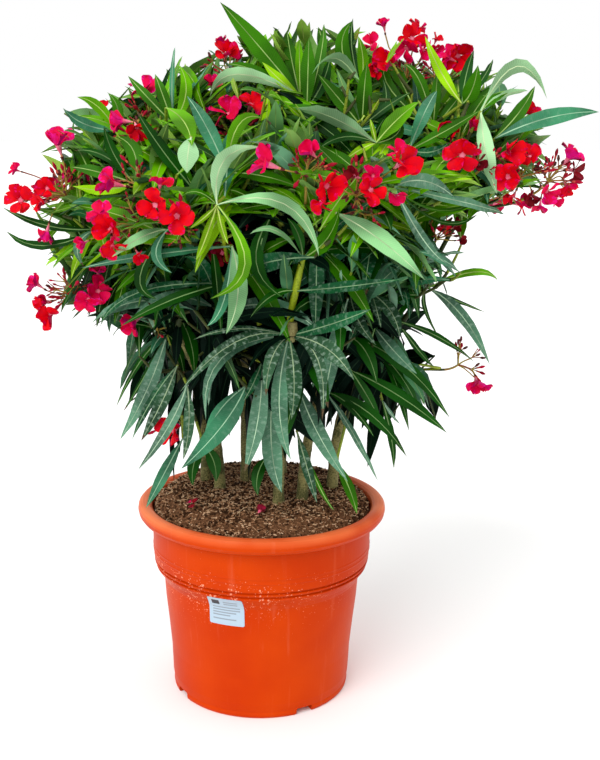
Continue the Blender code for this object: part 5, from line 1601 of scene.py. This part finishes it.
def grow_buds(room, bundle, start, aim, count, rng):
    """A branch of a head, with its buds and here and there a spent calyx."""
    end = start + aim * rng.uniform(0.012, 0.026)
    grow_stalk(bundle, start, end, aim, BUD_BRANCH, rng)
    for number in range(count):
        axis = tilted(aim, GOLDEN_TURN * number + rng.uniform(-0.4, 0.4),
                      math.radians(rng.uniform(6, 58)))
        foot = end + axis * rng.uniform(0.004, 0.015)
        grow_stalk(bundle, end, foot, axis, BUD_STALK, rng)
        if rng.random() < SPENT:
            tube(bundle, [foot, foot + axis * 0.004, foot + axis * 0.009],
                 [0.0010, 0.0024, 0.0014], 5, "calyx")
            continue
        length = rng.choice((rng.uniform(0.006, 0.012), rng.uniform(0.010, 0.024)))
        add_bud(bundle, foot, axis, length, rng)
        room.keep_sight([foot + axis * length * 0.5, foot + axis * length])


def grow_head(room, bundle, heart, hub, flowers, buds, rng):
    """A head: a peduncle to its hub, open flowers, and branches of buds between them."""
    aim = (hub - heart).normalized()
    reach = (hub - heart).length
    line = bezier(heart, heart + aim * reach * 0.4, hub - (aim + UP * 0.6) * reach * 0.3, hub, 8)
    tube(bundle, line, PEDUNCLE_RADII, 6, ["shoot_old"] * 5 + ["stalk_green"] * 3)
    for mouth, axis, size, look in flowers:
        axis = tilted(axis, rng.uniform(0, math.tau), math.radians(rng.uniform(0, FLOWER_TILT)))
        foot = mouth - axis * (TUBE_LENGTH + 0.001) * size
        grow_stalk(bundle, hub, foot, axis, FLOWER_STALK, rng)
        add_flower(bundle, foot, axis, rng.uniform(*OPENNESS), size, rng, look)
        face = [mouth + tilted(axis, math.tau * step / 8, math.pi / 2) * reach * size
                for step in range(8) for reach in (0.010, 0.019)]
        room.fill([foot, mouth, *face])
        room.keep_sight([mouth, *face])
    buds = round(buds * BUD_SHARE)
    branches = 2 + buds // 5 if buds else 0
    for out in spiral((aim + UP * 0.8).normalized(), branches, HEAD_SPREAD, rng, 0.3, 0.4):
        grow_buds(room, bundle, hub, out, math.ceil(buds / branches), rng)


def back_flowers(hub, heart, count, rng):
    """Places and directions of a head's flowers, spread over the side away from its mass."""
    made = []
    for axis in spiral(((hub - heart).normalized() + UP * 0.5).normalized(), count, HEAD_SPREAD, rng):
        look = rng.choice(("petal", "petal", "pink"))
        made.append((hub + axis * rng.uniform(0.036, 0.052), axis, rng.uniform(0.75, 1.1), look))
    return made


def on_compost(across, down):
    """Point of the compost's flat top that the view shows at a pixel."""
    aim = seen(across, down, 0) - EYE
    return EYE + aim * (SOIL_TOP + 0.003 - EYE.z) / aim.z


def drop_blossom(blossom, rng):
    """A few fallen petals, and one fallen flower with its tube."""
    for spot in FALLEN_PETALS:
        radial = tilted(UP, rng.uniform(0, math.tau), math.radians(86))
        add_petal(blossom, on_compost(*spot), UP, radial, 1.5, FALLEN_SIZE, "petal_dark", "petal_back",
                  rng)
    foot = on_compost(*FALLEN_FOOT)
    axis = (on_compost(*FALLEN_MOUTH) - foot).normalized()
    add_flower(blossom, foot + UP * 0.004, (axis + UP * 0.15).normalized(), 0.5, FALLEN_SIZE, rng,
               "petal_dark")


# ---------------------------------------------------------------- the crown
def build_crown():
    """Grow every mass: leading leaves first, then heads of blossom, then the rule's shoots."""
    room = Room()
    hearts = {row[0]: Vector(row[3]) for row in CROWN + SKIRT}
    pieces = {name: Bundle(name) for name in LEAF_PIECES}
    home = {mass: pieces[name] for name, masses in LEAF_PIECES.items() for mass in masses}
    twigs = Bundle("young_shoots")
    blossom = Bundle("blossom")
    rng = random.Random("leaders")
    lines = [grow_leader(room, home[mass], node, hearts[mass], tips, rng)
             for mass, node, tips in LEADERS]
    for mass, radius, places in STEMS:
        grow_stem(room, twigs, hearts[mass], radius, places)
    tube(twigs, [seen(*place) for place in SHEATH], SHEATH_RADII, 7, "sheath")
    rng = random.Random("heads")
    for mass, hub, buds, flowers in HEADS:
        placed = []
        for mouth, aim, size, look in flowers:
            point = seen(*mouth)
            placed.append((point, view_axis(point, *aim), size, look))
        grow_head(room, blossom, hearts[mass], seen(*hub), placed, buds, rng)
    for mass, hub, buds, flowers in BACK_HEADS:
        hub = Vector(hub)
        placed = back_flowers(hub, hearts[mass], flowers, rng)
        grow_head(room, blossom, hearts[mass], hub, placed, buds, rng)
    for line in lines:
        tube(twigs, line, LEADER_RADII, 6, LEADER_LOOKS)
    for name, _, _, _, shoots, opening in CROWN + SKIRT:
        grow_mass(room, home[name], twigs, name, hearts[name], shoots, opening)
    fill_gaps(room, home, twigs, hearts, random.Random("gaps"))
    for name, piece in pieces.items():
        piece.finish(LEAF_PIECES[name], "old_foliage" if name == "leaves_skirt" else "foliage")
    drop_blossom(blossom, random.Random("fallen"))
    twigs.finish([], "green_bark")
    blossom.finish([], "foliage")


# ---------------------------------------------------------------- tub, label and compost
def turned(name, rings, sides):
    """A round shape: a disc carried up and out, or down and in, through its rings."""
    radius, height = rings[0]
    bpy.ops.mesh.primitive_circle_add(vertices=sides, radius=radius, fill_type="NGON",
                                      location=(0, 0, height))
    piece = bpy.context.object
    piece.name = name
    bpy.ops.object.transform_apply()
    bpy.ops.object.mode_set(mode="EDIT")
    bpy.ops.mesh.select_all(action="SELECT")
    for (radius, height), (wide, high) in zip(rings, rings[1:]):
        bpy.ops.mesh.extrude_region_move(TRANSFORM_OT_translate={"value": (0, 0, high - height)})
        bpy.ops.transform.resize(value=(wide / radius, wide / radius, 1),
                                 center_override=(0, 0, high))
    bpy.ops.mesh.select_all(action="SELECT")
    bpy.ops.mesh.normals_make_consistent(inside=False)
    bpy.ops.object.mode_set(mode="OBJECT")
    return piece


def cut_notch(tub, turn):
    """Cut one drain notch out of the tub's foot."""
    wide, deep, high = DRAIN_SIZE
    place = (FOOT_RADIUS * math.sin(turn), -FOOT_RADIUS * math.cos(turn), 0)
    bpy.ops.mesh.primitive_cube_add(size=1, location=place, rotation=(0, 0, turn),
                                    scale=(wide, deep * 1.6, high * 2))
    cutter = bpy.context.object
    bpy.ops.object.transform_apply()
    bpy.ops.object.mode_set(mode="EDIT")
    bpy.ops.mesh.select_all(action="SELECT")
    bpy.ops.mesh.bevel(offset=DRAIN_ROUNDING, segments=3)
    bpy.ops.object.mode_set(mode="OBJECT")
    notch = tub.modifiers.new("Notch", "BOOLEAN")
    notch.operation = "DIFFERENCE"
    notch.object = cutter
    bpy.context.view_layer.objects.active = tub
    bpy.ops.object.modifier_apply(modifier="Notch")
    bpy.data.objects.remove(cutter)


def build_tub():
    """The tub: one profile turned round, with a rolled rim, ridges, a grooved step and a foot."""
    tub = turned("tub_wall", TUB_RINGS, TUB_SIDES)
    for angle in DRAIN_ANGLES:
        cut_notch(tub, math.radians(angle))
    bpy.ops.object.shade_smooth_by_angle(angle=TUB_SHARP)
    tub.data.materials.clear()
    tub.data.materials.append(LOOKS["terracotta"])
    dress(tub, ["tub"])


def wall_radius(height):
    """Radius of the tub's outer side at a height below the collar."""
    for (radius, low), (wide, high) in zip(TUB_RINGS[2:], TUB_RINGS[3:]):
        if low <= height <= high:
            return radius + (wide - radius) * (height - low) / (high - low)
    return FOOT_RADIUS


def build_label():
    """A paper label with round corners, bent to the wall. Its print is plain grey bars."""
    bpy.ops.mesh.primitive_plane_add(size=1)
    label = bpy.context.object
    label.name = "label_sheet"
    label.scale = (LABEL_WIDTH, LABEL_HEIGHT, 1)
    bpy.ops.object.transform_apply()
    bpy.ops.object.mode_set(mode="EDIT")
    bpy.ops.mesh.select_all(action="SELECT")
    bpy.ops.mesh.bevel(offset=LABEL_CORNER, segments=4, affect="VERTICES")
    for axis, size, count in ((Vector((1, 0, 0)), LABEL_WIDTH, LABEL_COLUMNS),
                              (Vector((0, 1, 0)), LABEL_HEIGHT, LABEL_ROWS)):
        for step in range(1, count):
            bpy.ops.mesh.select_all(action="SELECT")
            bpy.ops.mesh.bisect(plane_co=axis * (size * (step / count - 0.5)), plane_no=axis)
    bpy.ops.object.mode_set(mode="OBJECT")
    for look in LABEL_LOOKS:
        label.data.materials.append(LOOKS[look])
    for face in label.data.polygons:
        row = int((LABEL_HEIGHT / 2 - face.center.y) / (LABEL_HEIGHT / LABEL_ROWS))
        for rows, left, right, look in LABEL_PRINT:
            if row in rows and left < face.center.x / LABEL_WIDTH < right:
                face.material_index = look
    for vert in label.data.vertices:
        height = LABEL_MIDDLE_HEIGHT + vert.co.y
        radius = wall_radius(height) + GAP
        turn = LABEL_ANGLE + vert.co.x / radius
        vert.co = (radius * math.sin(turn), -radius * math.cos(turn), height)
    sheet = label.modifiers.new("Sheet", "SOLIDIFY")
    sheet.thickness = LABEL_THICKNESS
    sheet.offset = 1
    bpy.ops.object.modifier_apply(modifier="Sheet")
    dress(label, ["label"])


def build_compost():
    """The compost: a lumpy mound that fills the tub."""
    mound = turned("compost_mound", MOUND_RINGS, MOUND_SIDES)
    rng = random.Random("mound")
    for vert in mound.data.vertices:
        if math.hypot(vert.co.x, vert.co.y) < MOUND_LUMPY:
            vert.co.z += rng.uniform(*MOUND_LUMPS)
    bpy.ops.object.shade_smooth()
    mound.data.materials.append(LOOKS["compost"])
    dress(mound, ["compost"])


def surface_height(radius):
    """Height of the compost at a distance from its middle."""
    if radius < SOIL_FLAT_RADIUS:
        return SOIL_TOP
    return SOIL_TOP - SOIL_FALL * ((radius - SOIL_FLAT_RADIUS) / SOIL_EDGE) ** 1.6


def build_bits():
    """Bark chips, crumbs, clods, fibres and straw strewn on the compost."""
    rng = random.Random("crumbs")
    bits = Bundle("compost_bits")
    shares = {kind: row[0] for kind, row in BIT_KINDS.items()}
    for _ in range(BITS):
        radius = BED_RADIUS * math.sqrt(rng.random())
        turn = rng.uniform(0, math.tau)
        place = Vector((radius * math.cos(turn), radius * math.sin(turn), 0))
        place.z = surface_height(radius) + rng.uniform(-0.0005, 0.0022)
        kind = pick(rng, shares)
        sizes = {name: (rng.uniform(*lengths), rng.uniform(*widths), thick)
                 for name, (_, lengths, widths, thick) in BIT_KINDS.items()}
        length, wide, thick = sizes[kind]
        aim = tilted(UP, rng.uniform(0, math.tau), math.radians(rng.uniform(62, 100)))
        side = aim.cross(UP).normalized()
        upper = side.cross(aim)
        dots = []
        for end, share in ((-0.5, rng.uniform(0.4, 1)), (0.5, rng.uniform(0.4, 1))):
            for x, y in ((-0.5, -0.5), (0.5, -0.5), (0.5, 0.5), (-0.5, 0.5)):
                dots.append(place + aim * end * length + side * x * wide * share
                            + upper * y * thick * share)
        faces = [(3, 2, 1, 0), (4, 5, 6, 7), (0, 1, 5, 4), (1, 2, 6, 5), (2, 3, 7, 6), (3, 0, 4, 7)]
        bits.add(dots, faces, [kind] * 6)
    bits.finish([], "compost")


# ---------------------------------------------------------------- floor, light and camera
def build_stage():
    """A plain pale floor, a broad soft light from the upper left and the front, and a white sky."""
    bpy.ops.mesh.primitive_plane_add(size=80)
    floor = bpy.context.object
    floor.name = "floor"
    floor.data.materials.append(floor_paint())
    sky = bpy.data.worlds.new("pale_sky")
    sky.use_nodes = True
    back = sky.node_tree.nodes["Background"]
    back.inputs["Color"].default_value = (1.0, 1.0, 1.0, 1)
    back.inputs["Strength"].default_value = 1.0
    bpy.context.scene.world = sky
    bpy.ops.object.light_add(type="SUN", location=SUN_PLACE)
    lamp = bpy.context.object
    lamp.data.energy = SUN_ENERGY
    lamp.data.angle = SUN_SPREAD
    lamp.rotation_euler = (SUN_AIM - lamp.location).to_track_quat("-Z", "Y").to_euler()


def build_camera():
    """The camera, at the eye."""
    lens = bpy.data.cameras.new("view")
    lens.sensor_width = SENSOR
    lens.lens = VIEW_FOCAL / VIEW[1] * SENSOR
    eye = bpy.data.objects.new("view", lens)
    bpy.context.scene.collection.objects.link(eye)
    eye.matrix_world = Matrix.Translation(EYE) @ EYE_TURN.to_4x4()
    bpy.context.scene.camera = eye
    bpy.context.scene.view_settings.view_transform = "Standard"


build_tub()
build_label()
build_compost()
build_bits()
build_canes()
build_boughs()
build_crown()
build_stage()
build_camera()
